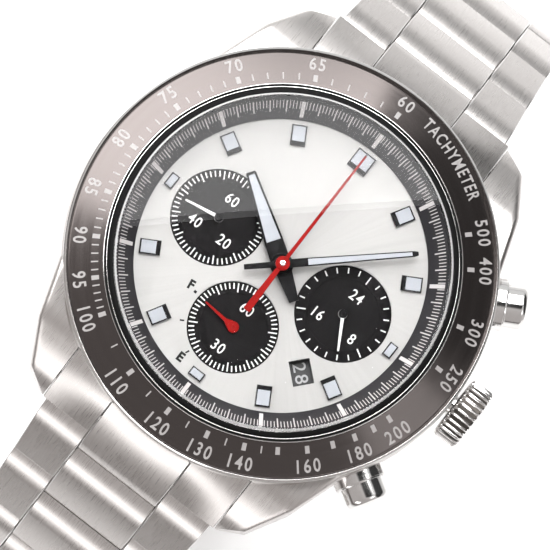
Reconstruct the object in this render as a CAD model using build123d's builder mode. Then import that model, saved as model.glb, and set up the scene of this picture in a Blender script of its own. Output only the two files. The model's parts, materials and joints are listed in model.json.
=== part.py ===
from build123d import *
import os
from math import atan2, cos, degrees, radians, sin, sqrt

# Chronograph wristwatch on a three-row steel bracelet, in millimetres.
# +Z is the dial's outward normal, +Y points to 12 o'clock and +X to 3 o'clock.
# The origin is the centre of the case back's flat outer face.

os.makedirs("parts", exist_ok=True)

# ---------------------------------------------------------------- driving sizes
CASE_R = 20.7             # mid-case radius
CASE_FLOOR = 0.9          # underside of the mid-case
CASE_TOP = 8.6            # mid-case top, where the bezel ring sits
BORE_R = 15.9             # movement bore
THREAD_R = 16.5           # screwed case back
THREAD_TOP = 2.5
LUG_GAP = 10.3            # half the width between the lugs
LUG_TIP_Y = 22.9
BAR_Y = 20.35             # spring bars between the lugs
BAR_R = 0.65
BAR_TIP_R = 0.45
BAR_HALF = 9.6            # half length of a spring bar's body, then of its tips
BAR_TIP_HALF = 11.1
LUG_HOLE_HALF = 11.3      # spring bar holes, from the middle of the case

CASE_BACK_R = 17.3
KEY_SLOTS = 6             # for the case wrench
SEAT_R = 19.5             # round face of the case between the lugs
SIDE_HOLE_START = 12      # the side holes begin inside the bore
STEM_HOLE_R = 1.1
PUSHER_HOLE_R = 0.9
COLLAR_R = 2.55           # pusher collars and their counterbores
COLLAR_START = 19.6

BEZEL_R = 20.6
INSERT_R = 20.2
INSERT_BORE = 17.3
CRYSTAL_R = 16.3
CRYSTAL_BOTTOM = 10.9
CRYSTAL_TOP = 13.0
CRYSTAL_EDGE_R = 15.7     # top of the crystal's bevelled edge
CRYSTAL_RISE = 0.5        # height of its shallow dome
GASKET_R = 16.7           # crystal gasket and its seat in the bezel ring

DIAL_R = 15.8
DIAL_BOTTOM = 7.5
DIAL_TOP = 8.0
DIAL_VISIBLE_R = 13.85
SUBDIAL_PITCH = 7.36      # distance of each sub-dial from the centre
RECESS = 0.2
SUBDIAL_HOLE_R = 0.4      # arbor holes through the dial
CENTRE_HOLE_R = 0.95
DATE_ANGLE = 131.5        # clockwise from 12 o'clock
DATE_R = 10.2
DATE_WINDOW = (2.4, 2.0)
MARKER_OUTER = 13.4
MARKER_INNER = 11.4
MARKER_SHORT_INNER = 12.5 # at 3, 6 and 9
MARKER_W = 1.44
MARKER_WIDE_W = 2.0       # at 12
MARKER_H = 0.35
MARKER_BEVEL = 0.08
SOLAR_BOTTOM = 7.25
SOLAR_R = 15
DISC_BOTTOM = 6.9         # date disc
DISC_T = 0.2
DISC_R = 12.5
DISC_TIP_R = 8.6
DISC_ROOT_R = 8.95
DISC_TEETH = 31

PLATE_BOTTOM = 4.6
PLATE_TOP = 5.5
STEM_Z = 5.0
PUSHER_Z = 5.2
PUSHER_ANGLES = (61, 121)
CROWN_IN = 20.95          # crown, from its inner to its outer end
CROWN_OUT = 23.75
CROWN_R = 3.2
CROWN_FLUTES = 30
CROWN_SOCKET = 23.2       # end of the stem's hole in the crown
STEM_R = 0.45
PUSHER_STEM_R = 0.6
SPRING_R = 1.1            # pusher springs
SPRING_WIRE_R = 0.12
SPRING_START = 20.36
SPRING_PITCH = 0.42
SPRING_LENGTH = 1.26

PITCH = 7.63              # bracelet hinge to hinge
KNUCKLE_R = 1.7
KNUCKLE_GAP = 0.15
LINK_HALF_T = 1.3
LINK_CROWN = 0.45
CENTRE_HALF_W = 4.65
SQUARE_END = 7.05         # length of the last link on the 12 o'clock side
ROW_GAP = 0.05
HINGE_Y = 23.0            # first hinge, at the end link
HINGE_Z = 1.9
END_HEADING = 35          # degrees below horizontal, as are the link headings
LINK_HEADINGS = (52, 53, 61, 86, 113, 140, 163)
LINK_HALF_W = (9.75, 9.4, 9.15, 9.0, 9.0, 9.0, 9.0, 9.0)

PIN_R = 0.5
RUN = 0.05                # radial clearance of a running pin
CLASP_WALL = 8.5          # inner face of the clasp cover's side walls

END_ANGLE = 17            # clasp hinges, degrees round the clasp's arc
FOLD_ANGLE = 14.2
COVER_ANGLE = 14.8
FOLD_DEPTH = 0.43         # clasp hinge depths outside the arc
COVER_DEPTH = 1.4
BARREL_R = 0.72
CLASP_PIN_R = 0.35
BLADE_HALF_W = 7.6
COVER_HALF_W = 9.3
BARREL_HALF_W = 3.2       # half the width of the middle blade's barrels, with their gap
MIDDLE_HALF_W = 3
END_BARREL_R = 0.95
INNER_DEPTHS = (-0.45, 0.3)     # each strip's two faces, outside the clasp's arc
MIDDLE_DEPTHS = (0.6, 1.25)
COVER_DEPTHS = (1.55, 2.5)
COVER_END = 15.0
BUTTON_HALF = 2.5         # degrees round the arc, half of a button
BUTTON_GAP = 0.1

PLATE_R = 14.2
HOLDER_R = 15.85
HOLDER_BORE = 14.3
HOLDER_HOLE_R = 0.75
BOARD_R = 13.8
BOARD_BOTTOM = 2.25
BOARD_T = 0.3
CELL_HOLE_R = 5.0
BRIDGE_BOTTOM = 2.75
BRIDGE_T = 0.5
BRIDGE_BOSS_R = 2.6
BRIDGE_ARM_W = 3
MOTOR_R = 10.4            # motors, from the centre
MOTOR_ANGLES = (315, 225, 135)
COIL_Z = 4.1
COIL_R = 0.45
COIL_HALF_L = 3.2
STATOR_BOTTOM = 3.35
STATOR_T = 0.3
STATOR_SIZE = (9, 2.2)
STATOR_HOLE = (-3.6, 0)
STATOR_HOLE_R = 0.6
ARBOR_BOTTOM = 2.8
ARBOR_GAP = 0.05
ROTOR_WHEEL = (3.7, 3.9, 2.2)   # bottom, top and radius of the wheel each motor drives
MINUTE_MODULE = 0.125
HOUR_MODULE = 0.12
ARBOR_R = 0.2
CANNON_R = 0.5
HOUR_TUBE_R = 0.85
SUBDIALS = ((-SUBDIAL_PITCH, 0), (0, -SUBDIAL_PITCH), (SUBDIAL_PITCH, 0))   # at 9, 6 and 3
SUBDIAL_RADII = (4.6, 4.35, 4.6)
HAND_WHEELS = SUBDIALS[:2]
MINUTE_WHEEL = (2.3105, 1.9136)     # 3.0 from the centre and 5.4 from the sub-dial at 3
CELL_CENTRE = (6.2, 6.9)

TIME_HOUR = 303.8         # hand angles, clockwise from 12 o'clock
TIME_MINUTE = 47.5
ANGLE_24H = 150
ANGLE_SECONDS = 260
ANGLE_COUNTER = 275


# ---------------------------------------------------------------- helpers
def save(piece, name):
    piece.part.label = name
    export_step(piece.part, f"parts/{name}.step")


def clock_point(angle, r):
    """Point at a clock angle in degrees, clockwise from 12 o'clock."""
    return (r * sin(radians(angle)), r * cos(radians(angle)))


def radial_plane(angle, r, z):
    """Plane facing outwards at a clock angle, its local y pointing up."""
    x, y = clock_point(angle, r)
    outward = clock_point(angle, 1)
    return Plane(origin=(x, y, z), x_dir=(-outward[1], outward[0], 0), z_dir=(*outward, 0))


def ring(points):
    """Solid of revolution about Z from (radius, height) points."""
    with BuildPart() as body:
        with BuildSketch(Plane.XZ):
            with BuildLine():
                Polyline(*points, close=True)
            make_face()
        revolve(axis=Axis.Z)
    return body


def radial_turning(angle, z, points):
    """Solid of revolution about a radial axis from (distance out, radius) points."""
    outward = clock_point(angle, 1)
    plane = Plane(origin=(0, 0, z), x_dir=(*outward, 0), z_dir=(outward[1], -outward[0], 0))
    with BuildPart() as body:
        with BuildSketch(plane):
            with BuildLine():
                Polyline(*points, close=True)
            make_face()
        revolve(axis=Axis((0, 0, z), (*outward, 0)))
    return body


def save_group(pieces, name):
    """One node made of several separate solids."""
    group = Compound(label=name, children=[piece.part for piece in pieces])
    export_step(group, f"parts/{name}.step")


# ---------------------------------------------------------------- case
def lug_plan():
    """Outline of one lug seen from above, for x > 0 and y > 0."""
    return [(LUG_GAP, 14), (LUG_GAP, LUG_TIP_Y), (12.9, 21.4), (14.9, 17.2), (16.7, 12.2), (13, 9)]


def case_side_points():
    """Side silhouette over one end of the case, as (y, z)."""
    return [(0, CASE_FLOOR), (18.2, CASE_FLOOR), (19.5, 0.6), (22.7, 0.7), (LUG_TIP_Y, 2.6),
            (21.6, 4.6), (17.5, 7.6), (11, CASE_TOP)]


def make_case_body():
    with BuildPart() as lugs:
        with BuildSketch():
            for sx in (-1, 1):
                for sy in (-1, 1):
                    corners = [(sx * x, sy * y) for x, y in lug_plan()]
                    Polygon(*corners, align=None)
        extrude(amount=CASE_TOP)
        with BuildSketch(Plane.YZ):
            right = case_side_points()
            left = [(-y, z) for y, z in reversed(right)]
            with BuildLine():
                Polyline(*right, *left[:-1], close=True)
            make_face()
        extrude(amount=CASE_R, both=True, mode=Mode.INTERSECT)

    with BuildPart() as case_body:
        with BuildSketch(Plane.XZ):
            with BuildLine():
                Polyline((10, CASE_FLOOR), (19.0, CASE_FLOOR), (CASE_R, 2.6), (CASE_R, 7.9),
                         (20.3, CASE_TOP), (10, CASE_TOP), close=True)
            make_face()
        revolve(axis=Axis.Z)
        add(lugs.part)
        # seats for the end links, between the lugs
        with BuildSketch(Plane.XY):
            Rectangle(2 * LUG_GAP, 60)
            Circle(SEAT_R, mode=Mode.SUBTRACT)
        extrude(amount=CASE_TOP, mode=Mode.SUBTRACT)
        with Locations((0, 0, THREAD_TOP)):
            Cylinder(BORE_R, CASE_TOP, align=(Align.CENTER, Align.CENTER, Align.MIN), mode=Mode.SUBTRACT)
        Cylinder(THREAD_R, THREAD_TOP, align=(Align.CENTER, Align.CENTER, Align.MIN), mode=Mode.SUBTRACT)
        # crown tube hole, pusher tube holes and their counterbores
        with BuildSketch(radial_plane(90, SIDE_HOLE_START, STEM_Z)):
            Circle(STEM_HOLE_R)
        extrude(amount=CASE_R, mode=Mode.SUBTRACT)
        for angle in PUSHER_ANGLES:
            with BuildSketch(radial_plane(angle, SIDE_HOLE_START, PUSHER_Z)):
                Circle(PUSHER_HOLE_R)
            extrude(amount=CASE_R, mode=Mode.SUBTRACT)
            with BuildSketch(radial_plane(angle, COLLAR_START, PUSHER_Z)):
                Circle(COLLAR_R)
            extrude(amount=CASE_R, mode=Mode.SUBTRACT)
        # spring bar holes in the lugs
        with BuildSketch(Plane.YZ.offset(-LUG_HOLE_HALF)):
            with Locations((BAR_Y, HINGE_Z), (-BAR_Y, HINGE_Z)):
                Circle(BAR_TIP_R)
        extrude(amount=2 * LUG_HOLE_HALF, mode=Mode.SUBTRACT)
    return case_body


def make_case_back():
    floor_top = 1.0
    rim = [(0, 0), (16.2, 0), (CASE_BACK_R, 0.5), (CASE_BACK_R, CASE_FLOOR), (THREAD_R, CASE_FLOOR),
           (THREAD_R, 2.2),
           (15.2, 2.2), (15.2, floor_top), (0, floor_top)]
    with BuildPart() as case_back:
        with BuildSketch(Plane.XZ):
            with BuildLine():
                Polyline(*rim, close=True)
            make_face()
        revolve(axis=Axis.Z)
        key_slot = (1.6, 2.4, 1.0)
        with PolarLocations(CASE_BACK_R - 0.1, KEY_SLOTS):
            Box(*key_slot, mode=Mode.SUBTRACT)
    return case_back


def make_bezel_ring():
    return ring([(BORE_R, CASE_TOP), (BEZEL_R - 0.5, CASE_TOP), (BEZEL_R, 9.0), (BEZEL_R, 10.0),
                 (INSERT_R + 0.15, 10.25), (INSERT_R, 9.95), (INSERT_R, 9.4), (INSERT_BORE, 10.75),
                 (INSERT_BORE, 11.3), (17.1, 11.5), (GASKET_R, 11.5), (GASKET_R, 10.5), (BORE_R, 10.5)])


def make_insert():
    return ring([(INSERT_R, 9.4), (INSERT_R, 9.9), (INSERT_BORE, 11.25), (INSERT_BORE, 10.75)])


def make_crystal():
    """Box-shaped crystal: a bevelled edge under a shallow spherical top."""
    edge = (CRYSTAL_EDGE_R, CRYSTAL_TOP - CRYSTAL_RISE)
    dome_r = (CRYSTAL_EDGE_R**2 + CRYSTAL_RISE**2) / (2 * CRYSTAL_RISE)
    with BuildPart() as crystal:
        with BuildSketch(Plane.XZ):
            with BuildLine():
                Polyline((0, CRYSTAL_TOP), (0, CRYSTAL_BOTTOM), (CRYSTAL_R, CRYSTAL_BOTTOM),
                         (CRYSTAL_R, 12.0), edge)
                RadiusArc(edge, (0, CRYSTAL_TOP), -dome_r)
            make_face()
        revolve(axis=Axis.Z)
    return crystal


def make_crystal_gasket():
    return ring([(CRYSTAL_R, 11.4), (CRYSTAL_R, CRYSTAL_BOTTOM), (16.0, CRYSTAL_BOTTOM), (16.0, 10.5),
                 (GASKET_R, 10.5), (GASKET_R, 11.4)])


def make_chapter_ring():
    return ring([(DIAL_VISIBLE_R, DIAL_TOP), (DIAL_R, DIAL_TOP), (DIAL_R, 10.3), (15.6, 10.3),
                 (DIAL_VISIBLE_R, 8.25)])


def make_end_link(side):
    """End link between the lugs: side is 1 at 12 o'clock and -1 at 6 o'clock."""
    plane = hinge_plane((HINGE_Y, HINGE_Z), END_HEADING, 1)
    top = plane.from_local_coords((sqrt(KNUCKLE_R**2 - LINK_HALF_T**2), LINK_HALF_T, 0))
    low = plane.from_local_coords((sqrt(KNUCKLE_R**2 - LINK_HALF_T**2), -LINK_HALF_T, 0))
    nose = plane.from_local_coords((KNUCKLE_R, 0, 0))
    with BuildPart() as end_link:
        with BuildSketch(Plane.YZ):
            with BuildLine():
                Polyline((top.Y, top.Z), (19, 7.9), (19, 1.3), (low.Y, low.Z))
                ThreePointArc((low.Y, low.Z), (nose.Y, nose.Z), (top.Y, top.Z))
            make_face()
        extrude(amount=LUG_GAP - 0.1, both=True)
        Cylinder(19.6, 30, mode=Mode.SUBTRACT)
        # the outer rows stop short of the hinge and make room for the first link
        reach = 4
        for x in (-LUG_GAP, CENTRE_HALF_W):
            with BuildSketch(Plane.YZ.offset(x)):
                with Locations((HINGE_Y, HINGE_Z)):
                    Circle(KNUCKLE_R + KNUCKLE_GAP)
                corners = [plane.from_local_coords(p) for p in
                           ((0, reach, 0), (reach, reach, 0), (reach, -reach, 0), (0, -reach, 0))]
                Polygon(*[(p.Y, p.Z) for p in corners], align=None)
            extrude(amount=LUG_GAP - CENTRE_HALF_W, mode=Mode.SUBTRACT)
        # hinge hole and spring bar hole
        with BuildSketch(Plane.YZ.offset(-LUG_GAP)):
            with Locations((HINGE_Y, HINGE_Z)):
                Circle(PIN_R + RUN)
            with Locations((BAR_Y, HINGE_Z)):
                Circle(BAR_R)
        extrude(amount=2 * LUG_GAP, mode=Mode.SUBTRACT)
        if side < 0:
            mirror(about=Plane.XZ, mode=Mode.REPLACE)
    return end_link


def make_lug_spring_bar(side):
    with BuildPart() as bar:
        for radius, half_length in ((BAR_R, BAR_HALF), (BAR_TIP_R, BAR_TIP_HALF)):
            with BuildSketch(Plane.YZ.offset(-half_length)):
                with Locations((side * BAR_Y, HINGE_Z)):
                    Circle(radius)
            extrude(amount=2 * half_length)
    return bar


# ---------------------------------------------------------------- bracelet
def hinge_plane(point, heading, side):
    """Side-view plane of a link: x along the link, y towards its outer face.

    side is 1 for the 12 o'clock half and -1 for the 6 o'clock half."""
    y, z = point
    angle = radians(heading)
    return Plane(origin=(0, side * y, z), x_dir=(0, side * cos(angle), -sin(angle)), z_dir=(side, 0, 0))


def hinge_points():
    """Hinge centres of one half, from the end link to the clasp, as (y, z)."""
    points = [(HINGE_Y, HINGE_Z)]
    for heading in LINK_HEADINGS:
        y, z = points[-1]
        points.append((y + PITCH * cos(radians(heading)), z - PITCH * sin(radians(heading))))
    return points


def centre_outline():
    """Centre piece in side view: concave at its near end, round at its far end."""
    wide = KNUCKLE_R + KNUCKLE_GAP
    near = sqrt(wide**2 - LINK_HALF_T**2)
    far = PITCH + sqrt(KNUCKLE_R**2 - LINK_HALF_T**2)
    with BuildLine() as outline:
        ThreePointArc((near, LINK_HALF_T), (0.42 * PITCH, LINK_HALF_T + LINK_CROWN), (far, LINK_HALF_T))
        ThreePointArc((far, LINK_HALF_T), (PITCH + KNUCKLE_R, 0), (far, -LINK_HALF_T))
        Line((far, -LINK_HALF_T), (near, -LINK_HALF_T))
        ThreePointArc((near, -LINK_HALF_T), (wide, 0), (near, LINK_HALF_T))
    return outline


def outer_outline():
    """Outer piece in side view: round at its near end, concave at its far end."""
    wide = KNUCKLE_R + KNUCKLE_GAP
    near = -sqrt(KNUCKLE_R**2 - LINK_HALF_T**2)
    far = PITCH - sqrt(wide**2 - LINK_HALF_T**2)
    with BuildLine() as outline:
        ThreePointArc((near, LINK_HALF_T), (0.3 * PITCH, LINK_HALF_T + LINK_CROWN), (far, LINK_HALF_T))
        ThreePointArc((far, LINK_HALF_T), (PITCH - wide, 0), (far, -LINK_HALF_T))
        Line((far, -LINK_HALF_T), (near, -LINK_HALF_T))
        ThreePointArc((near, -LINK_HALF_T), (-KNUCKLE_R, 0), (near, LINK_HALF_T))
    return outline


def side_rod(plane, point, radius, half_length):
    with BuildPart() as rod:
        with BuildSketch(plane.offset(-half_length)):
            with Locations(point):
                Circle(radius)
        extrude(amount=2 * half_length)
    return rod


def trim_end(piece, plane):
    """Cut a link piece flat where its far hinge would be."""
    with BuildPart() as trimmed:
        add(piece.part)
        with BuildSketch(plane.offset(-10)):
            with Locations((SQUARE_END + 5, 0)):
                Rectangle(10, 10)
        extrude(amount=20, mode=Mode.SUBTRACT)
    return trimmed


def make_link(point, heading, side, near_w, far_w, square_end):
    """A link: centre piece, two outer pieces, hinge pin and fixed cross pin.

    square_end cuts the far end flat, where the last link meets the clasp."""
    plane = hinge_plane(point, heading, side)
    cross = (0.42 * PITCH, 0)
    pin_half = far_w - 0.35
    with BuildPart() as centre:
        with BuildSketch(plane):
            add(centre_outline().line)
            make_face()
        extrude(amount=CENTRE_HALF_W, both=True)
        with BuildSketch(plane.offset(-CENTRE_HALF_W)):
            with Locations((PITCH, 0)):
                Circle(PIN_R + RUN)
            with Locations(cross):
                Circle(PIN_R)
        extrude(amount=2 * CENTRE_HALF_W, mode=Mode.SUBTRACT)
    rows = []
    for x in (-near_w, CENTRE_HALF_W + ROW_GAP):
        with BuildPart() as outer:
            with BuildSketch(plane.offset(x)):
                add(outer_outline().line)
                make_face()
            extrude(amount=near_w - CENTRE_HALF_W - ROW_GAP)
            # the width tapers from one hinge to the next
            with BuildSketch(Plane(origin=plane.origin, x_dir=plane.x_dir, z_dir=plane.y_dir)):
                slope = (near_w - far_w) / PITCH
                reach = 2 * PITCH
                wide = near_w + slope * KNUCKLE_R
                narrow = near_w - slope * (reach - KNUCKLE_R)
                Polygon((-KNUCKLE_R, -wide), (reach - KNUCKLE_R, -narrow),
                        (reach - KNUCKLE_R, narrow), (-KNUCKLE_R, wide), align=None)
            extrude(amount=4, both=True, mode=Mode.INTERSECT)
            with BuildSketch(plane.offset(-pin_half)):
                with Locations((0, 0), cross):
                    Circle(PIN_R)
            extrude(amount=2 * pin_half, mode=Mode.SUBTRACT)
        rows.append(outer)
    if square_end:
        rows = [trim_end(row, plane) for row in rows]
        centre = trim_end(centre, plane)
    hinge_pin = side_rod(plane, (0, 0), PIN_R, pin_half)
    cross_pin = side_rod(plane, cross, PIN_R, pin_half)
    return [centre, *rows, hinge_pin, cross_pin]


# ---------------------------------------------------------------- clasp
def clasp_frame():
    """Centre height and radius of the arc that the closed clasp follows."""
    y, z = hinge_points()[-1]
    slope = radians(180 - LINK_HEADINGS[-1])
    radius = y / sin(slope)
    return z + radius * cos(slope), radius


def clasp_point(angle, depth):
    """Point of the clasp's side view: degrees from the bottom, millimetres outside its arc."""
    centre_z, radius = clasp_frame()
    return ((radius + depth) * sin(radians(angle)), centre_z - (radius + depth) * cos(radians(angle)))


def clasp_strip(start, end, inner, outer, x, width):
    """Curved plate between two angles and two depths, from x over a width."""
    middle = (start + end) / 2
    with BuildPart() as strip:
        with BuildSketch(Plane.YZ.offset(x)):
            with BuildLine():
                ThreePointArc(clasp_point(start, outer), clasp_point(middle, outer), clasp_point(end, outer))
                Line(clasp_point(end, outer), clasp_point(end, inner))
                ThreePointArc(clasp_point(end, inner), clasp_point(middle, inner), clasp_point(start, inner))
                Line(clasp_point(start, inner), clasp_point(start, outer))
            make_face()
        extrude(amount=width)
    return strip


def barrel(point, radius, x, width):
    """Hinge barrel or pin hole across the clasp."""
    with BuildPart() as rod:
        with BuildSketch(Plane.YZ.offset(x)):
            with Locations(point):
                Circle(radius)
        extrude(amount=width)
    return rod.part


def make_inner_blade():
    """Blade next to the wrist: ears for the last link, barrels for the middle blade."""
    end_pivot = clasp_point(-END_ANGLE, 0)
    fold = clasp_point(FOLD_ANGLE, FOLD_DEPTH)
    with BuildPart() as blade:
        add(clasp_strip(-14.6, FOLD_ANGLE - 0.3, *INNER_DEPTHS, -BLADE_HALF_W, 2 * BLADE_HALF_W).part)
        for x in (-BLADE_HALF_W, CENTRE_HALF_W + 0.1):
            width = BLADE_HALF_W - CENTRE_HALF_W - 0.1
            add(clasp_strip(-END_ANGLE, -14.0, *INNER_DEPTHS, x, width).part)
            add(barrel(end_pivot, END_BARREL_R, x, width))
        for x in (-BLADE_HALF_W, BARREL_HALF_W):
            add(barrel(fold, BARREL_R, x, BLADE_HALF_W - BARREL_HALF_W))
        add(barrel(fold, BARREL_R + 0.25, -BARREL_HALF_W, 2 * BARREL_HALF_W), mode=Mode.SUBTRACT)
        add(barrel(fold, CLASP_PIN_R, -BLADE_HALF_W, 2 * BLADE_HALF_W), mode=Mode.SUBTRACT)
        add(barrel(end_pivot, PIN_R, -BLADE_HALF_W, 2 * BLADE_HALF_W), mode=Mode.SUBTRACT)
    return blade


def make_middle_blade():
    """Blade between the other two, with a barrel at each end."""
    fold = clasp_point(FOLD_ANGLE, FOLD_DEPTH)
    cover = clasp_point(-COVER_ANGLE, COVER_DEPTH)
    with BuildPart() as blade:
        add(clasp_strip(-COVER_ANGLE + 0.5, FOLD_ANGLE - 0.6, *MIDDLE_DEPTHS,
                        -BLADE_HALF_W, 2 * BLADE_HALF_W).part)
        add(barrel(fold, BARREL_R + 0.15, -BLADE_HALF_W, 2 * BLADE_HALF_W), mode=Mode.SUBTRACT)
        add(barrel(cover, BARREL_R + 0.15, -BLADE_HALF_W, 2 * BLADE_HALF_W), mode=Mode.SUBTRACT)
        middle = (-MIDDLE_HALF_W, 2 * MIDDLE_HALF_W)
        add(clasp_strip(-COVER_ANGLE, -COVER_ANGLE + 1.2, 0.7, 1.25, *middle).part)
        add(clasp_strip(FOLD_ANGLE - 1.6, FOLD_ANGLE, 0.6, 1.05, *middle).part)
        for point in (fold, cover):
            add(barrel(point, BARREL_R, *middle))
            add(barrel(point, CLASP_PIN_R + RUN, *middle), mode=Mode.SUBTRACT)
        # lightening slot down the middle
        add(clasp_strip(-8, 8, 0, 2, -2, 4).part, mode=Mode.SUBTRACT)
    return blade


def make_clasp_cover():
    """Outer shell: bottom plate, side walls and the barrels of the middle blade."""
    cover = clasp_point(-COVER_ANGLE, COVER_DEPTH)
    wall_depths = (-0.5, COVER_DEPTHS[1])
    gap = (-BARREL_HALF_W, 2 * BARREL_HALF_W)
    with BuildPart() as shell:
        add(clasp_strip(-COVER_ANGLE, COVER_END, *COVER_DEPTHS, -COVER_HALF_W, 2 * COVER_HALF_W).part)
        for x in (-COVER_HALF_W, CLASP_WALL):
            add(clasp_strip(-COVER_ANGLE - 0.5, COVER_END, *wall_depths, x, COVER_HALF_W - CLASP_WALL).part)
        add(clasp_strip(-COVER_ANGLE, -COVER_ANGLE + 1.2, 1.2, 2, *gap).part, mode=Mode.SUBTRACT)
        for x in (-CLASP_WALL, BARREL_HALF_W):
            add(barrel(cover, BARREL_R, x, CLASP_WALL - BARREL_HALF_W))
        add(barrel(cover, BARREL_R + 0.25, *gap), mode=Mode.SUBTRACT)
        add(barrel(cover, CLASP_PIN_R, -CLASP_WALL, 2 * CLASP_WALL), mode=Mode.SUBTRACT)
        # windows for the release buttons
        add(clasp_strip(-BUTTON_HALF - BUTTON_GAP, BUTTON_HALF + BUTTON_GAP, -BUTTON_GAP, 1.2 + BUTTON_GAP,
                        -COVER_HALF_W, 2 * COVER_HALF_W).part, mode=Mode.SUBTRACT)
        outside = shell.edges().filter_by(lambda e: abs(abs(e.center().X) - COVER_HALF_W) < 0.01)
        chamfer(outside.sort_by(Axis.Z)[0:2], 0.3)
    return shell


def make_clasp_button(side):
    """Release button in the cover's side wall, with a flange that keeps it in."""
    near = BLADE_HALF_W + 0.65
    far = COVER_HALF_W + 0.6
    return clasp_strip(-BUTTON_HALF, BUTTON_HALF, 0.0, 1.2, near if side > 0 else -far, far - near)


# ---------------------------------------------------------------- dial and hands
def date_place():
    """Middle of the date window, its local x pointing away from the centre."""
    return Location((*clock_point(DATE_ANGLE, DATE_R), 0), (0, 0, 90 - DATE_ANGLE))


def make_dial():
    with BuildPart() as dial:
        with BuildSketch(Plane.XY.offset(DIAL_BOTTOM)):
            Circle(DIAL_R)
            Circle(CENTRE_HOLE_R, mode=Mode.SUBTRACT)
            with Locations(*SUBDIALS):
                Circle(SUBDIAL_HOLE_R, mode=Mode.SUBTRACT)
            with Locations(date_place()):
                Rectangle(*DATE_WINDOW, mode=Mode.SUBTRACT)
        extrude(amount=DIAL_TOP - DIAL_BOTTOM)
        for centre, radius in zip(SUBDIALS, SUBDIAL_RADII):
            with BuildSketch(Plane.XY.offset(DIAL_TOP - RECESS)):
                with Locations(centre):
                    Circle(radius)
            extrude(amount=RECESS, mode=Mode.SUBTRACT)
    return dial


def make_solar_cell():
    with BuildPart() as cell:
        with BuildSketch(Plane.XY.offset(SOLAR_BOTTOM)):
            Circle(SOLAR_R)
            Circle(CENTRE_HOLE_R + 0.05, mode=Mode.SUBTRACT)
            with Locations(*SUBDIALS):
                Circle(SUBDIAL_HOLE_R + 0.1, mode=Mode.SUBTRACT)
            with Locations(date_place()):
                Rectangle(DATE_WINDOW[0] + 0.4, DATE_WINDOW[1] + 0.4, mode=Mode.SUBTRACT)
        extrude(amount=DIAL_BOTTOM - SOLAR_BOTTOM)
    return cell


def make_hour_marker(hour):
    """Applied block: long at most hours, short beside the sub-dials, wide at 12."""
    inner = MARKER_SHORT_INNER if hour in (3, 6, 9) else MARKER_INNER
    width = MARKER_WIDE_W if hour == 12 else MARKER_W
    angle = 30 * hour
    middle = clock_point(angle, (inner + MARKER_OUTER) / 2)
    with BuildPart() as marker:
        with BuildSketch(Plane.XY.offset(DIAL_TOP)):
            with Locations(Location((*middle, 0), (0, 0, 90 - angle))):
                Rectangle(MARKER_OUTER - inner, width)
        extrude(amount=MARKER_H)
        chamfer(marker.edges().group_by(Axis.Z)[-1], MARKER_BEVEL)
    return marker


def make_hand(centre, angle, outline, hub_r, hole_r, bottom, thick):
    """Flat hand: outline is (distance along the hand, half width) from tail to tip."""
    x, y = centre
    plane = Plane(origin=(x, y, bottom), x_dir=(*clock_point(angle, 1), 0), z_dir=(0, 0, 1))
    with BuildPart() as hand:
        with BuildSketch(plane):
            corners = [(along, half) for along, half in outline]
            Polygon(*corners, *[(along, -half) for along, half in reversed(corners)], align=None)
            Circle(hub_r)
            if hole_r:
                Circle(hole_r, mode=Mode.SUBTRACT)
        extrude(amount=thick)
    return hand


def make_date_disc():
    """Ring under the dial, with an inner tooth for each day."""
    corners = []
    for i in range(2 * DISC_TEETH):
        angle = i * 180 / DISC_TEETH
        corners.append(clock_point(angle, DISC_TIP_R if i % 2 else DISC_ROOT_R))
    with BuildPart() as disc:
        with BuildSketch(Plane.XY.offset(DISC_BOTTOM)):
            Circle(DISC_R)
            Polygon(*corners, align=None, mode=Mode.SUBTRACT)
        extrude(amount=DISC_T)
    return disc


# ---------------------------------------------------------------- movement
def mesh_phase(phase, teeth, direction, other_teeth):
    """Phase that puts a second gear in mesh with the first, seen along a direction."""
    offset = (phase - direction) / (360 / teeth)
    return direction + 180 - (offset + 0.5) * 360 / other_teeth


def gear_points(teeth, module, phase, centre):
    """Outline of a small spur gear with straight-sided teeth."""
    root = module * (teeth / 2 - 1.25)
    tip = module * (teeth / 2 + 0.85)
    pitch = 360 / teeth
    corners = []
    for i in range(teeth):
        for part, r in ((-0.29, root), (-0.13, tip), (0.13, tip), (0.29, root)):
            angle = radians(phase + (i + part) * pitch)
            corners.append((centre[0] + r * cos(angle), centre[1] + r * sin(angle)))
    return corners


def make_wheel(centre, gears, sections, bore=None):
    """Wheel with gears (teeth, module, phase, bottom, top), an arbor and a bore."""
    with BuildPart() as wheel:
        for teeth, module, phase, bottom, top in gears:
            with BuildSketch(Plane.XY.offset(bottom)):
                Polygon(*gear_points(teeth, module, phase, centre), align=None)
            extrude(amount=top - bottom)
        for bottom, top, radius in sections:
            with BuildSketch(Plane.XY.offset(bottom)):
                with Locations(centre):
                    Circle(radius)
            extrude(amount=top - bottom)
        if bore:
            low, high, radius = bore
            with BuildSketch(Plane.XY.offset(low)):
                with Locations(centre):
                    Circle(radius)
            extrude(amount=high - low, mode=Mode.SUBTRACT)
    return wheel


def make_movement_plate():
    with BuildPart() as plate:
        with BuildSketch(Plane.XY.offset(PLATE_BOTTOM)):
            Circle(PLATE_R)
            with Locations((0, 0), *SUBDIALS, MINUTE_WHEEL):
                Circle(ARBOR_R + ARBOR_GAP, mode=Mode.SUBTRACT)
            # slot for the winding stem
            with Locations((12, 0)):
                Rectangle(6, 1.2, mode=Mode.SUBTRACT)
        extrude(amount=PLATE_TOP - PLATE_BOTTOM)
    return plate


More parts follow.
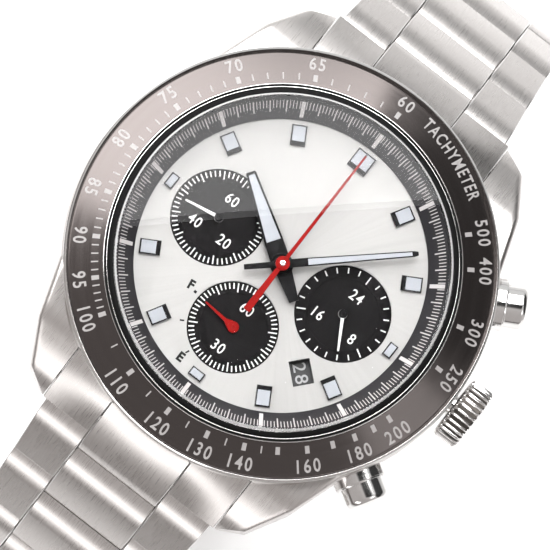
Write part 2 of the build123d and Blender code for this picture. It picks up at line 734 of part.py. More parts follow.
def make_movement_holder():
    with BuildPart() as holder:
        with BuildSketch(Plane.XY.offset(THREAD_TOP)):
            Circle(HOLDER_R)
            Circle(HOLDER_BORE, mode=Mode.SUBTRACT)
        extrude(amount=SOLAR_BOTTOM - THREAD_TOP)
        for angle, z in ((90, STEM_Z), (PUSHER_ANGLES[0], PUSHER_Z), (PUSHER_ANGLES[1], PUSHER_Z)):
            with BuildSketch(radial_plane(angle, SIDE_HOLE_START, z)):
                Circle(HOLDER_HOLE_R)
            extrude(amount=HOLDER_R, mode=Mode.SUBTRACT)
    return holder


def make_circuit_board():
    with BuildPart() as board:
        with BuildSketch(Plane.XY.offset(BOARD_BOTTOM)):
            Circle(BOARD_R)
            with Locations(CELL_CENTRE):
                Circle(CELL_HOLE_R, mode=Mode.SUBTRACT)
        extrude(amount=BOARD_T)
    return board


def make_train_bridge():
    """Bridge under the hand wheels, three round bosses joined by arms."""
    with BuildPart() as bridge:
        with BuildSketch(Plane.XY.offset(BRIDGE_BOTTOM)):
            with Locations((0, 0), *HAND_WHEELS):
                Circle(BRIDGE_BOSS_R)
            with Locations((-SUBDIAL_PITCH / 2, 0)):
                Rectangle(SUBDIAL_PITCH, BRIDGE_ARM_W)
            with Locations((0, -SUBDIAL_PITCH / 2)):
                Rectangle(BRIDGE_ARM_W, SUBDIAL_PITCH)
            with Locations((0, 0), *HAND_WHEELS):
                Circle(ARBOR_R + ARBOR_GAP, mode=Mode.SUBTRACT)
        extrude(amount=BRIDGE_T)
    return bridge


def make_motor_parts():
    """Coils and stators of the three stepping motors."""
    coils = []
    stators = []
    for angle in MOTOR_ANGLES:
        plane = radial_plane(angle, MOTOR_R, COIL_Z)
        with BuildPart() as coil:
            with BuildSketch(Plane(origin=plane.origin, x_dir=plane.z_dir, z_dir=plane.x_dir)):
                Circle(COIL_R)
            extrude(amount=COIL_HALF_L, both=True)
        coils.append(coil)
        with BuildPart() as stator:
            x, y = clock_point(angle, MOTOR_R)
            with BuildSketch(Plane(origin=(x, y, STATOR_BOTTOM), x_dir=plane.x_dir, z_dir=(0, 0, 1))):
                Rectangle(*STATOR_SIZE)
                with Locations(STATOR_HOLE):
                    Circle(STATOR_HOLE_R, mode=Mode.SUBTRACT)
            extrude(amount=STATOR_T)
        stators.append(stator)
    return coils, stators


def make_power_cell():
    return make_wheel(CELL_CENTRE, (), ((2.35, 2.6, 3.9), (2.6, 4.5, 4.75)))


# ---------------------------------------------------------------- controls
def make_crown():
    with BuildPart() as crown:
        add(radial_turning(90, STEM_Z, [(CROWN_IN, 1.2), (CROWN_IN, 2.9), (21.2, CROWN_R), (23.3, CROWN_R),
                                        (CROWN_OUT, 2.7), (CROWN_OUT, 0), (CROWN_SOCKET, 0),
                                        (CROWN_SOCKET, PIN_R), (22.3, PIN_R), (22.3, 1.2)]).part)
        flute_r = 0.19
        with BuildSketch(radial_plane(90, CROWN_IN - 0.05, STEM_Z)):
            with PolarLocations(CROWN_R + 0.08, CROWN_FLUTES):
                Circle(flute_r)
        extrude(amount=2.5, mode=Mode.SUBTRACT)
    return crown


def make_pusher(angle):
    return radial_turning(angle, PUSHER_Z, [(15.4, 0), (15.4, PUSHER_STEM_R), (22.9, PUSHER_STEM_R),
                                            (22.9, 1.55), (21.3, 1.55), (21.3, 2.1), (23.2, 2.1),
                                            (23.45, 1.8), (23.6, 1.0), (23.6, 0)])


def make_side_tubes():
    tubes = [radial_turning(90, STEM_Z, [(16, 0.55), (16, STEM_HOLE_R), (22.0, STEM_HOLE_R), (22.0, 0.55)])]
    for angle in PUSHER_ANGLES:
        tubes.append(radial_turning(angle, PUSHER_Z, [
            (16, 0.66), (16, PUSHER_HOLE_R), (COLLAR_START, PUSHER_HOLE_R), (COLLAR_START, COLLAR_R),
            (21.6, COLLAR_R), (21.8, 2.4), (21.8, 2.16), (20.2, 2.16), (20.2, 0.66)]))
    return tubes


def make_pusher_spring(angle):
    """Return spring inside a pusher's collar, at its pressed length."""
    start = clock_point(angle, SPRING_START)
    with BuildPart() as spring:
        with BuildLine():
            coil = Helix(pitch=SPRING_PITCH, height=SPRING_LENGTH, radius=SPRING_R,
                         center=(*start, PUSHER_Z), direction=(*clock_point(angle, 1), 0))
        with BuildSketch(Plane(origin=coil @ 0, z_dir=coil % 0)):
            Circle(SPRING_WIRE_R)
        sweep()
    return spring


# ---------------------------------------------------------------- build: case
save(make_case_body(), "case_body")
save(make_case_back(), "case_back")
save(ring([(BORE_R + 0.05, 2.2), (THREAD_R, 2.2), (THREAD_R, THREAD_TOP), (BORE_R + 0.05, THREAD_TOP)]),
     "case_back_gasket")
save(make_bezel_ring(), "bezel_ring")
save(make_insert(), "bezel_insert")
save(make_crystal(), "crystal")
save(make_crystal_gasket(), "crystal_gasket")
save(make_chapter_ring(), "chapter_ring")
save(make_end_link(1), "end_link_12")
save(make_end_link(-1), "end_link_6")
save_group([make_lug_spring_bar(1), make_lug_spring_bar(-1)], "lug_spring_bars")

# ---------------------------------------------------------------- build: bracelet and clasp
points = hinge_points()
for k, heading in enumerate(LINK_HEADINGS):
    for side, half in ((1, "12"), (-1, "6")):
        last = side > 0 and k == len(LINK_HEADINGS) - 1
        link = make_link(points[k], heading, side, LINK_HALF_W[k], LINK_HALF_W[k + 1], last)
        save_group(link, f"link_{half}_{k + 1}")
inner_pin = side_rod(Plane.YZ, clasp_point(-END_ANGLE, 0), PIN_R, BLADE_HALF_W)
fold_pin = side_rod(Plane.YZ, clasp_point(FOLD_ANGLE, FOLD_DEPTH), CLASP_PIN_R, BLADE_HALF_W)
cover_pin = side_rod(Plane.YZ, clasp_point(-COVER_ANGLE, COVER_DEPTH), CLASP_PIN_R, CLASP_WALL)
save_group([make_inner_blade(), inner_pin, fold_pin], "clasp_inner_blade")
save(make_middle_blade(), "clasp_middle_blade")
save_group([make_clasp_cover(), cover_pin], "clasp_cover")
save(make_clasp_button(1), "clasp_button_right")
save(make_clasp_button(-1), "clasp_button_left")

# ---------------------------------------------------------------- build: dial and hands
save(make_dial(), "dial")
save(make_solar_cell(), "solar_cell")
save_group([make_hour_marker(hour) for hour in range(1, 13)], "hour_markers")
save(make_date_disc(), "date_disc")
save(make_hand((0, 0), TIME_HOUR, [(-3.7, 0.45), (0, 0.92), (1, 0.92), (8.6, 0.5), (9.2, 0.4)],
               1.2, HOUR_TUBE_R, 8.75, 0.25), "hour_hand")
save(make_hand((0, 0), TIME_MINUTE, [(-3.6, 0.26), (0, 0.4), (1, 0.42), (12.4, 0.3), (12.9, 0.15)],
               0.85, CANNON_R, 9.35, 0.22), "minute_hand")
save(make_hand((0, 0), 0, [(-5.5, 0.35), (-1.2, 0.26), (0, 0.22), (12.9, 0.1)],
               0.68, ARBOR_R, 9.95, 0.2), "chrono_seconds_hand")
save(make_hand(SUBDIALS[0], ANGLE_SECONDS, [(-1, 0.16), (0, 0.16), (3.4, 0.08)],
               0.4, ARBOR_R, 8.05, 0.15), "small_seconds_hand")
save(make_hand(SUBDIALS[1], ANGLE_COUNTER, [(-1, 0.16), (0, 0.18), (3.4, 0.08)],
               0.5, ARBOR_R, 8.05, 0.15), "chrono_minutes_hand")
save(make_hand(SUBDIALS[2], ANGLE_24H, [(-0.9, 0.16), (0, 0.16), (3.2, 0.08)],
               0.4, ARBOR_R, 8.05, 0.15), "hand_24h")

# ---------------------------------------------------------------- build: movement
minute_direction = degrees(atan2(MINUTE_WHEEL[1], MINUTE_WHEEL[0]))
day_direction = degrees(atan2(-MINUTE_WHEEL[1], SUBDIALS[2][0] - MINUTE_WHEEL[0]))
save(make_wheel((0, 0), [(12, MINUTE_MODULE, 0, 5.7, 6.05)], ((5.6, 9.57, CANNON_R),), (5.6, 9.6, 0.26)),
     "cannon_pinion")
save(make_wheel(MINUTE_WHEEL, [(36, MINUTE_MODULE, mesh_phase(0, 12, minute_direction, 36), 5.75, 5.95),
                               (10, HOUR_MODULE, 0, 5.95, 6.8)], ((5.0, 6.85, ARBOR_R),)), "minute_wheel")
save(make_wheel((0, 0), [(40, HOUR_MODULE, mesh_phase(0, 10, minute_direction + 180, 40), 6.12, 6.32)],
                ((6.12, 9.0, HOUR_TUBE_R),), (6.12, 9.1, CANNON_R + RUN)), "hour_wheel")
save(make_wheel(SUBDIALS[2], [(80, HOUR_MODULE, mesh_phase(0, 10, day_direction, 80), 6.5, 6.7)],
                ((5.0, 8.2, ARBOR_R),)), "wheel_24h")
save(make_wheel((0, 0), (), ((ARBOR_BOTTOM, 10.15, ARBOR_R), ROTOR_WHEEL)), "chrono_seconds_wheel")
save(make_wheel(SUBDIALS[1], (), ((ARBOR_BOTTOM, 8.2, ARBOR_R), ROTOR_WHEEL)), "chrono_minutes_wheel")
save(make_wheel(SUBDIALS[0], (), ((ARBOR_BOTTOM, 8.2, ARBOR_R), ROTOR_WHEEL)), "small_seconds_wheel")
save(make_movement_plate(), "movement_plate")
save(make_movement_holder(), "movement_holder")
save(make_circuit_board(), "circuit_board")
save(make_power_cell(), "power_cell")
save(make_train_bridge(), "train_bridge")
coils, stators = make_motor_parts()
save_group(coils, "motor_coils")
save_group(stators, "motor_stators")

# ---------------------------------------------------------------- build: controls
save(make_crown(), "crown")
save(radial_turning(90, STEM_Z, [(9.5, 0), (9.5, STEM_R), (23.1, STEM_R), (23.1, 0)]), "winding_stem")
save(make_pusher(PUSHER_ANGLES[0]), "pusher_start")
save(make_pusher(PUSHER_ANGLES[1]), "pusher_reset")
save_group(make_side_tubes(), "side_tubes")
save_group([make_pusher_spring(angle) for angle in PUSHER_ANGLES], "pusher_springs")
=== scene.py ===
import json
from math import atan2, cos, hypot, pi, radians, sin, sqrt, tau

import bmesh
import bpy
from mathutils import Matrix, Vector


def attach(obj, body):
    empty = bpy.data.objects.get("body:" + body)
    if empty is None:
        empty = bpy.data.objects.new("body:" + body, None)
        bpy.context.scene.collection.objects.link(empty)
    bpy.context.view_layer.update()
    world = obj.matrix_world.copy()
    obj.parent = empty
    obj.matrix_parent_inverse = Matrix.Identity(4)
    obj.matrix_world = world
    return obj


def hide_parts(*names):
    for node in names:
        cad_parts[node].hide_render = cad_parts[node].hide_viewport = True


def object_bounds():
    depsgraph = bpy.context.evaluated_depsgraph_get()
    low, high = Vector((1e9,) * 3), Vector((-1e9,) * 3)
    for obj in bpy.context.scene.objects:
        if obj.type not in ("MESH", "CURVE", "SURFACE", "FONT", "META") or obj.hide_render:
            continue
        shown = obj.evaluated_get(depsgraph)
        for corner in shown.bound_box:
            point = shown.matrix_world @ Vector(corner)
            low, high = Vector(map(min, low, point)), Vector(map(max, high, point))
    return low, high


# Chronograph wristwatch on a steel bracelet. Lengths below are millimetres unless said otherwise.
# +Z is the dial's outward normal, +Y points to 12 o'clock and +X to 3 o'clock.
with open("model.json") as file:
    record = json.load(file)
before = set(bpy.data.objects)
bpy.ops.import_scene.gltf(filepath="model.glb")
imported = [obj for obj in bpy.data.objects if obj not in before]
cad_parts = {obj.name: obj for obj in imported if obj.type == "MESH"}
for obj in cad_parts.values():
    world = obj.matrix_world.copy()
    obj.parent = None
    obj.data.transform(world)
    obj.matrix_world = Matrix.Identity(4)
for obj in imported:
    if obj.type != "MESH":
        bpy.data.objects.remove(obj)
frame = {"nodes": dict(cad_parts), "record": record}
CAD_LOW, CAD_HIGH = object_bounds()
MM = 0.001
scene = bpy.context.scene
scene.view_settings.view_transform = "Standard"

# ---------------------------------------------------------------- driving sizes
# As in the CAD, except the marked ones, which follow the looks of the real watch more closely.
SEGMENTS = 240
CASE_R = 20.7
CASE_FLOOR = 0.9
CASE_TOP = 8.6
CASE_BORE = 16.5
CASE_BACK_R = 17.3
SEAT_R = 19.5             # round face of the case between the lugs
BEZEL_R = 20.6
BEZEL_BORE = 15.9
INSERT_R = 20.2
INSERT_OUTER_Z = 9.9
INSERT_BORE = 16.95       # 17.3 in the CAD
INSERT_INNER_Z = 11.41    # 11.25 in the CAD
SEAL_R = 16.5             # 16.7 in the CAD
CRYSTAL_R = 16.03         # bore of the seal; the crystal is 16.3 in the CAD
CRYSTAL_FLAT_R = 15.7
CRYSTAL_LOW_Z = 10.9
CRYSTAL_EDGE_Z = 12.5
CRYSTAL_TOP = 13.0

DIAL_R = 15.8
DIAL_TOP = 8.0
DIAL_BOTTOM = 7.5
DIAL_VISIBLE_R = 13.85
CENTRE_HOLE_R = 0.95
CHAPTER_LOW_Z = 8.25
CHAPTER_TOP_R = 15.6
CHAPTER_TOP_Z = 10.3
SUBDIAL_PITCH = 7.36
SUBDIALS = {"9": (-SUBDIAL_PITCH, 0.0), "6": (0.0, -SUBDIAL_PITCH), "3": (SUBDIAL_PITCH, 0.0)}
SUBDIAL_R = {"9": 4.6, "6": 4.35, "3": 4.6}
RECESS = 0.2
MARKER_OUTER = 13.4
MARKER_INNER = 11.4
MARKER_SHORT_INNER = 12.5 # at 3, 6 and 9
MARKER_W = 1.44
MARKER_12_W = 2.0
MARKER_HEIGHT = 0.35
MARKER_CAP = 0.40         # length of a marker's black inner end
DATE_ANGLE = 131.5        # clockwise from 12 o'clock, as all clock angles
DATE_R = 10.2
DATE_WINDOW = (2.4, 2.0)
DATE_SHOWN = 28
PRINT_DEPTH = 0.015

STEM_Z = 5.0
STEM_HOLE_R = 1.1
PUSHER_Z = 5.2
PUSHER_ANGLES = {"start": 61, "reset": 121}
COLLAR_R = 2.55           # pusher collars and their pockets
COLLAR_START = 19.6

LUG_GAP = 10.3            # half the width between the lugs
LUG_TOP = [(9.0, 8.6), (13.0, 8.42), (17.0, 7.72), (19.4, 6.3), (21.5, 4.7), (22.4, 3.6), (22.9, 2.7)]
LUG_LOW = [(9.0, 0.9), (18.2, 0.9), (19.5, 0.6), (22.5, 0.7), (22.8, 1.3), (22.9, 2.4)]
LUG_SIDE = [(12.0, 16.95), (17.65, 15.1), (21.45, 12.95)]     # up to 0.4 further out than in the CAD
LUG_TIP_Y = 22.9
LUG_EDGE = 0.55           # radius of the lug's outer edge

PITCH = 7.63              # bracelet hinge to hinge
KNUCKLE_R = 1.7
HOLLOW_R = 1.85           # hollows round the knuckles
LINK_HALF_T = 1.3
LINK_TOP = 1.75           # middle of a link's outer face
LIP_Z = 1.52              # far end of that face, 1.3 in the CAD
SHOULDER_Z = 0.85         # near end of that face, 1.3 in the CAD
SHOULDER_SLOPE = 34
CUT_Z = 1.4               # top of the last link's square end
CENTRE_HALF_W = 4.65
ROW_GAP = 0.05
CROSS_PIN = 0.42          # place of a link's cross pin, as a share of the pitch
SQUARE_END = 7.05
HINGE = (23.0, 1.9)       # first hinge, at the end link
END_HEADING = 35          # degrees below horizontal, as are the link headings
LINK_HEADINGS = (52, 53, 61, 86, 113, 140, 163)
LINK_HALF_W = (9.75, 9.4, 9.15, 9.0, 9.0, 9.0, 9.0, 9.0)

END_ANGLE = 17            # the last hinges, in degrees round the clasp's arc
FOLD = (14.2, 0.43)       # the clasp's pivots: degrees round its arc and depth outside it
COVER = (-14.8, 1.4)
BLADE_HALF_W = 7.6
TONGUE_HALF_W = 3.0       # middle blade's ends, between the barrels of its neighbours
FORK_HALF_W = 3.2
BARREL_R = 0.72
INNER_DEPTHS = (-0.45, 0.3)
MIDDLE_DEPTHS = (0.6, 1.25)

TIME_HOUR = 303.8         # clock angles of the hands
TIME_MINUTE = 47.5
ANGLE_24H = 150
ANGLE_SECONDS = 260
ANGLE_COUNTER = 275


# ---------------------------------------------------------------- material helpers
class Shader:
    """A node material whose Principled shader gets its detail from small node chains."""

    def __init__(self, name, color, metallic=0.0, roughness=0.5, **sockets):
        self.material = bpy.data.materials.new(name)
        self.material.use_nodes = True
        self.nodes = self.material.node_tree.nodes
        self.links = self.material.node_tree.links
        self.main = self.nodes["Principled BSDF"]
        self.main.inputs["Base Color"].default_value = (*color, 1)
        self.main.inputs["Metallic"].default_value = metallic
        self.main.inputs["Roughness"].default_value = roughness
        for socket, value in sockets.items():
            self.main.inputs[socket.replace("_", " ")].default_value = value

    def node(self, kind, **settings):
        made = self.nodes.new(kind)
        for key, value in settings.items():
            setattr(made, key, value)
        return made

    def place(self, stretch):
        """Object coordinates in millimetres, stretched by three factors."""
        coordinates = self.node("ShaderNodeTexCoord")
        mapping = self.node("ShaderNodeMapping")
        mapping.inputs["Scale"].default_value = [factor / MM for factor in stretch]
        self.links.new(coordinates.outputs["Object"], mapping.inputs["Vector"])
        return mapping.outputs["Vector"]

    def polar(self, along=1.0, turn=60.0):
        """Coordinates round Z for turned or sunray finishes: the angle as X and Y, the radius as Z."""
        split = self.node("ShaderNodeSeparateXYZ")
        self.links.new(self.node("ShaderNodeTexCoord").outputs["Object"], split.inputs[0])
        flat = self.node("ShaderNodeCombineXYZ")
        for axis in "XY":
            self.links.new(split.outputs[axis], flat.inputs[axis])
        length = self.node("ShaderNodeVectorMath", operation="LENGTH")
        self.links.new(flat.outputs[0], length.inputs[0])
        angle = self.node("ShaderNodeMath", operation="ARCTAN2")
        self.links.new(split.outputs["X"], angle.inputs[0])
        self.links.new(split.outputs["Y"], angle.inputs[1])
        circle = self.node("ShaderNodeCombineXYZ")
        for trig, axis in (("COSINE", "X"), ("SINE", "Y")):
            wave = self.node("ShaderNodeMath", operation=trig)
            self.links.new(angle.outputs[0], wave.inputs[0])
            self.links.new(self.times(wave.outputs[0], turn), circle.inputs[axis])
        self.links.new(self.times(length.outputs["Value"], along / MM), circle.inputs["Z"])
        return circle.outputs[0]

    def noise(self, vector, detail=3.0, rough=0.6):
        texture = self.node("ShaderNodeTexNoise")
        texture.inputs["Scale"].default_value = 1.0
        texture.inputs["Detail"].default_value = detail
        texture.inputs["Roughness"].default_value = rough
        self.links.new(vector, texture.inputs["Vector"])
        return texture.outputs["Fac"]

    def times(self, factor, number):
        product = self.node("ShaderNodeMath", operation="MULTIPLY")
        product.inputs[1].default_value = number
        self.links.new(factor, product.inputs[0])
        return product.outputs[0]

    def spread(self, factor, low, high, start=0.3, end=0.7):
        """Map a noise value from start..end to low..high."""
        reach = self.node("ShaderNodeMapRange")
        for socket, value in (("From Min", start), ("From Max", end), ("To Min", low), ("To Max", high)):
            reach.inputs[socket].default_value = value
        self.links.new(factor, reach.inputs["Value"])
        return reach.outputs["Result"]

    def rough(self, factor, low, high):
        self.links.new(self.spread(factor, low, high), self.main.inputs["Roughness"])

    def tint(self, factor, first, second, start=0.3, end=0.7):
        mix = self.node("ShaderNodeMix", data_type="RGBA")
        mix.inputs["A"].default_value = (*first, 1)
        mix.inputs["B"].default_value = (*second, 1)
        self.links.new(self.spread(factor, 0, 1, start, end), mix.inputs["Factor"])
        self.links.new(mix.outputs["Result"], self.main.inputs["Base Color"])

    def bump(self, factor, strength, distance):
        relief = self.node("ShaderNodeBump")
        relief.inputs["Strength"].default_value = strength
        relief.inputs["Distance"].default_value = distance * MM
        self.links.new(factor, relief.inputs["Height"])
        self.links.new(relief.outputs["Normal"], self.main.inputs["Normal"])


def brushed(name, color, dark, stretch, low=0.24, high=0.34, strength=0.05):
    """Satin metal: fine streaks in tint, roughness and relief, and broad faint smudges."""
    shader = Shader(name, color, metallic=1.0)
    streaks = shader.noise(shader.place(stretch), 5.0, 0.7)
    shader.tint(streaks, dark, color, 0.35, 0.65)
    smudges = shader.noise(shader.place((0.35, 0.35, 0.35)), 4.0, 0.55)
    blend = shader.node("ShaderNodeMix", data_type="FLOAT")
    blend.inputs["Factor"].default_value = 0.25
    shader.links.new(streaks, blend.inputs["A"])
    shader.links.new(smudges, blend.inputs["B"])
    shader.rough(blend.outputs["Result"], low, high)
    shader.bump(streaks, strength, 0.01)
    return shader.material


def polished(name, color, dark, roughness=0.07):
    """Mirror metal with hairline scratches and faint handling marks."""
    shader = Shader(name, color, metallic=1.0)
    marks = shader.noise(shader.place((0.5, 0.5, 0.5)), 5.0, 0.6)
    shader.tint(marks, dark, color)
    shader.rough(marks, roughness, roughness + 0.08)
    hairlines = shader.noise(shader.place((9, 1.2, 2.5)), 2.0, 0.5)
    shader.bump(hairlines, 0.03, 0.005)
    return shader.material


def painted(name, color, light, roughness, grain=8.0, strength=0.06, **sockets):
    """Paint, print or plastic with a fine orange-peel grain."""
    shader = Shader(name, color, roughness=roughness, **sockets)
    peel = shader.noise(shader.place((grain, grain, grain)), 3.0, 0.6)
    shader.tint(peel, color, light)
    shader.rough(peel, roughness * 0.85, min(1, roughness * 1.15))
    shader.bump(peel, strength, 0.01)
    return shader.material


def sunray(name, color, dark):
    """Silver dial brushed in rays from its centre."""
    shader = Shader(name, color, metallic=0.35, roughness=0.4, Anisotropic=0.4)
    rays = shader.noise(shader.polar(along=0.02, turn=26.0), 6.0, 0.75)
    shader.tint(rays, dark, color, 0.25, 0.75)
    shader.rough(rays, 0.30, 0.42)
    shader.bump(rays, 0.05, 0.01)
    tangent = shader.node("ShaderNodeTangent", direction_type="RADIAL", axis="Z")
    shader.links.new(tangent.outputs[0], shader.main.inputs["Tangent"])
    return shader.material


def turned(name, color, dark, metallic, low, high, strength=0.08, rings=6.0, **sockets):
    """Surface finished on a lathe: fine rings about a vertical axis."""
    shader = Shader(name, color, metallic=metallic, **sockets)
    grooves = shader.noise(shader.polar(along=rings, turn=0.4), 4.0, 0.7)
    shader.tint(grooves, dark, color)
    shader.rough(grooves, low, high)
    shader.bump(grooves, strength, 0.01)
    return shader.material


def clear_glass(name, ior):
    """Crystal: refracts and reflects, and lets the lamps through to the dial."""
    shader = Shader(name, (1, 1, 1), roughness=0.0)
    glass = shader.node("ShaderNodeBsdfGlass")
    glass.inputs["IOR"].default_value = ior
    smear = shader.noise(shader.place((0.25, 0.25, 0.25)), 4.0, 0.6)
    shader.links.new(shader.spread(smear, 0.0, 0.0004), glass.inputs["Roughness"])
    clear = shader.node("ShaderNodeBsdfTransparent")
    ray = shader.node("ShaderNodeLightPath")
    mix = shader.node("ShaderNodeMixShader")
    shader.links.new(ray.outputs["Is Shadow Ray"], mix.inputs[0])
    shader.links.new(glass.outputs[0], mix.inputs[1])
    shader.links.new(clear.outputs[0], mix.inputs[2])
    shader.links.new(mix.outputs[0], shader.nodes["Material Output"].inputs["Surface"])
    shader.nodes.remove(shader.main)
    return shader.material


STEEL = (0.64, 0.615, 0.60)
STEEL_DARK = (0.57, 0.545, 0.53)
MATERIALS = {
    "bracelet": brushed("bracelet_steel", STEEL, STEEL_DARK, (14, 0.5, 0.5)),
    "case": brushed("case_steel", STEEL, STEEL_DARK, (16, 0.3, 0.3)),
    "case_flank": brushed("case_flank_steel", STEEL, STEEL_DARK, (0.3, 0.3, 18)),
    "polished_steel": polished("polished_steel", (0.80, 0.79, 0.78), (0.72, 0.71, 0.70)),
    "bare_steel": brushed("bare_steel", (0.62, 0.61, 0.60), (0.5, 0.49, 0.48), (3, 3, 3), 0.3, 0.45),
    "case_back": turned("case_back_steel", STEEL, STEEL_DARK, 1.0, 0.22, 0.34),
    "insert": turned("insert_brown", (0.098, 0.086, 0.083), (0.088, 0.076, 0.073), 0.8, 0.13, 0.2,
                     strength=0.015, rings=3.0),
    "dial": sunray("dial_silver", (0.315, 0.31, 0.303), (0.28, 0.275, 0.268)),
    "subdial": turned("subdial_black", (0.006, 0.0052, 0.0055), (0.004, 0.0036, 0.004), 0.0, 0.45, 0.55,
                      strength=0.05, rings=9.0, Specular_IOR_Level=0.06),
    "chapter": painted("chapter_black", (0.014, 0.013, 0.015), (0.019, 0.018, 0.020), 0.42,
                       Specular_IOR_Level=0.2),
    "gasket": painted("gasket_black", (0.006, 0.006, 0.006), (0.010, 0.010, 0.010), 0.7,
                      Specular_IOR_Level=0.08),
    # Light grey for the ring at the crystal's edge: a painted highlight for the chamfer's reflection.
    "ground": painted("edge_highlight_paint", (0.62, 0.62, 0.62), (0.72, 0.72, 0.72), 0.25),
    # Near-black steel for the sleeve under the crown's flutes: painted shade between the flutes.
    "groove": brushed("flute_shade_paint", (0.075, 0.068, 0.062), (0.05, 0.045, 0.04), (3, 3, 3), 0.4, 0.5),
    "white": painted("print_white", (0.58, 0.58, 0.57), (0.64, 0.64, 0.63), 0.5),
    "scale": painted("scale_print", (0.46, 0.44, 0.435), (0.50, 0.48, 0.475), 0.35),
    "marker": polished("marker_steel", (0.30, 0.30, 0.31), (0.24, 0.24, 0.25)),
    "pale": painted("print_grey", (0.28, 0.28, 0.285), (0.33, 0.33, 0.335), 0.5),
    "ink": painted("print_black", (0.006, 0.006, 0.006), (0.010, 0.010, 0.010), 0.45,
                   Specular_IOR_Level=0.1),
    "lume": painted("lume_white", (0.275, 0.29, 0.315), (0.30, 0.315, 0.345), 0.55,
                    grain=14.0, strength=0.10),
    "lacquer": painted("lacquer_black", (0.004, 0.004, 0.004), (0.006, 0.006, 0.007), 0.4,
                       Specular_IOR_Level=0.08),
    "red": painted("hand_red", (0.205, 0.003, 0.002), (0.235, 0.004, 0.003), 0.4, Specular_IOR_Level=0.05),
    "date": painted("date_black", (0.016, 0.016, 0.017), (0.024, 0.024, 0.025), 0.5),
    "solar": painted("solar_film", (0.030, 0.020, 0.045), (0.045, 0.030, 0.06), 0.3),
    "plastic": painted("movement_plastic", (0.55, 0.56, 0.56), (0.6, 0.61, 0.61), 0.5),
    "brass": brushed("plated_brass", (0.83, 0.66, 0.34), (0.7, 0.54, 0.26), (3, 3, 3), 0.2, 0.35),
    "board": painted("circuit_green", (0.02, 0.16, 0.06), (0.03, 0.22, 0.08), 0.4),
    "cell": turned("cell_steel", (0.75, 0.75, 0.74), (0.65, 0.65, 0.64), 1.0, 0.2, 0.35),
    "copper": brushed("coil_copper", (0.85, 0.40, 0.22), (0.6, 0.25, 0.13), (0.5, 0.5, 12), 0.25, 0.4),
    "crystal": clear_glass("crystal_glass", 1.30),
}
RECORD_FINISH = {
    "brushed_steel": "case", "polished_steel": "polished_steel", "bare_steel": "bare_steel",
    "bezel_print": "insert", "crystal_glass": "crystal", "gasket_black": "gasket",
    "chapter_black": "chapter", "dial_silver": "dial", "marker_white": "lume", "hand_black": "lacquer",
    "hand_red": "red", "hand_white": "white", "date_black": "date", "solar_film": "solar",
    "movement_plastic": "plastic", "plated_brass": "brass", "circuit_green": "board",
    "cell_steel": "cell", "coil_copper": "copper",
}


# ---------------------------------------------------------------- mesh helpers
def clock(angle, r):
    """Point at a clock angle in degrees, clockwise from 12 o'clock."""
    return (r * sin(radians(angle)), r * cos(radians(angle)))


def arc(start, middle, end, steps):
    """Points of the circular arc through three points, both ends included."""
    (ax, ay), (bx, by), (cx, cy) = start, middle, end
    d = 2 * (ax * (by - cy) + bx * (cy - ay) + cx * (ay - by))
    a2, b2, c2 = ax * ax + ay * ay, bx * bx + by * by, cx * cx + cy * cy
    ox = (a2 * (by - cy) + b2 * (cy - ay) + c2 * (ay - by)) / d
    oy = (a2 * (cx - bx) + b2 * (ax - cx) + c2 * (bx - ax)) / d
    r = hypot(ax - ox, ay - oy)
    first, mid, last = (atan2(y - oy, x - ox) for x, y in (start, middle, end))
    sweep = (last - first) % tau
    if (mid - first) % tau > sweep:
        sweep -= tau
    return [(ox + r * cos(first + sweep * i / steps), oy + r * sin(first + sweep * i / steps))
            for i in range(steps + 1)]


def rounded(points, radius, steps=3, closed=True):
    """Outline with its corners rounded by up to a radius."""
    count = len(points)
    made = []
    for i, corner in enumerate(points):
        if not closed and i in (0, count - 1):
            made.append(corner)
            continue
        here = Vector(corner)
        before = Vector(points[i - 1]) - here
        after = Vector(points[(i + 1) % count]) - here
        trim = min(radius, 0.4 * before.length, 0.4 * after.length)
        start, end = here + before.normalized() * trim, here + after.normalized() * trim
        for k in range(steps + 1):
            t = k / steps
            made.append(tuple(start * (1 - t) ** 2 + here * 2 * t * (1 - t) + end * t * t))
    return made


def lathe(profile, segments=SEGMENTS, place=None, ripple=None):
    """Solid of revolution about Z from (radius, height) points; ripple(angle, r, z) may vary the radius."""
    bm = bmesh.new()
    rings = []
    for r, z in profile:
        if r < 1e-6:
            rings.append([bm.verts.new((0, 0, z))])
            continue
        ring = []
        for i in range(segments):
            angle = tau * i / segments
            width = ripple(angle, r, z) if ripple else r
            ring.append(bm.verts.new((width * cos(angle), width * sin(angle), z)))
        rings.append(ring)
    for low, high in zip(rings, rings[1:] + rings[:1]):
        if len(low) == len(high) == 1:
            continue
        for i in range(segments):
            j = (i + 1) % segments
            corners = [low[i % len(low)], low[j % len(low)], high[j % len(high)], high[i % len(high)]]
            bm.faces.new(list(dict.fromkeys(corners)))
    if place:
        bm.transform(place)
    return bm


def circle(r, steps, x=0.0, y=0.0):
    return [(x + r * cos(tau * i / steps), y + r * sin(tau * i / steps)) for i in range(steps)]


def stitch(bm, rows, closed=False):
    """Add the faces between rows of equal numbers of vertices, each row a closed loop."""
    for a, b in zip(rows, rows[1:] + rows[:1] if closed else rows[1:]):
        for i in range(len(a)):
            j = (i + 1) % len(a)
            bm.faces.new((a[i], a[j], b[j], b[i]))


def merge(bm, part):
    """Add one bmesh to another and free it."""
    mesh = bpy.data.meshes.new("part")
    part.to_mesh(mesh)
    part.free()
    bm.from_mesh(mesh)
    bpy.data.meshes.remove(mesh)


def prism(bm, outline, low, high, place=None):
    """Add a closed solid: an outline in local x, y between two heights, or heights given by functions."""
    sides = []
    for level in (low, high):
        row = []
        for x, y in outline:
            point = Vector((x, y, level(x, y) if callable(level) else level))
            row.append(bm.verts.new(place @ point if place else point))
        sides.append(row)
    stitch(bm, sides)
    bm.faces.new(sides[1])
    bm.faces.new(list(reversed(sides[0])))


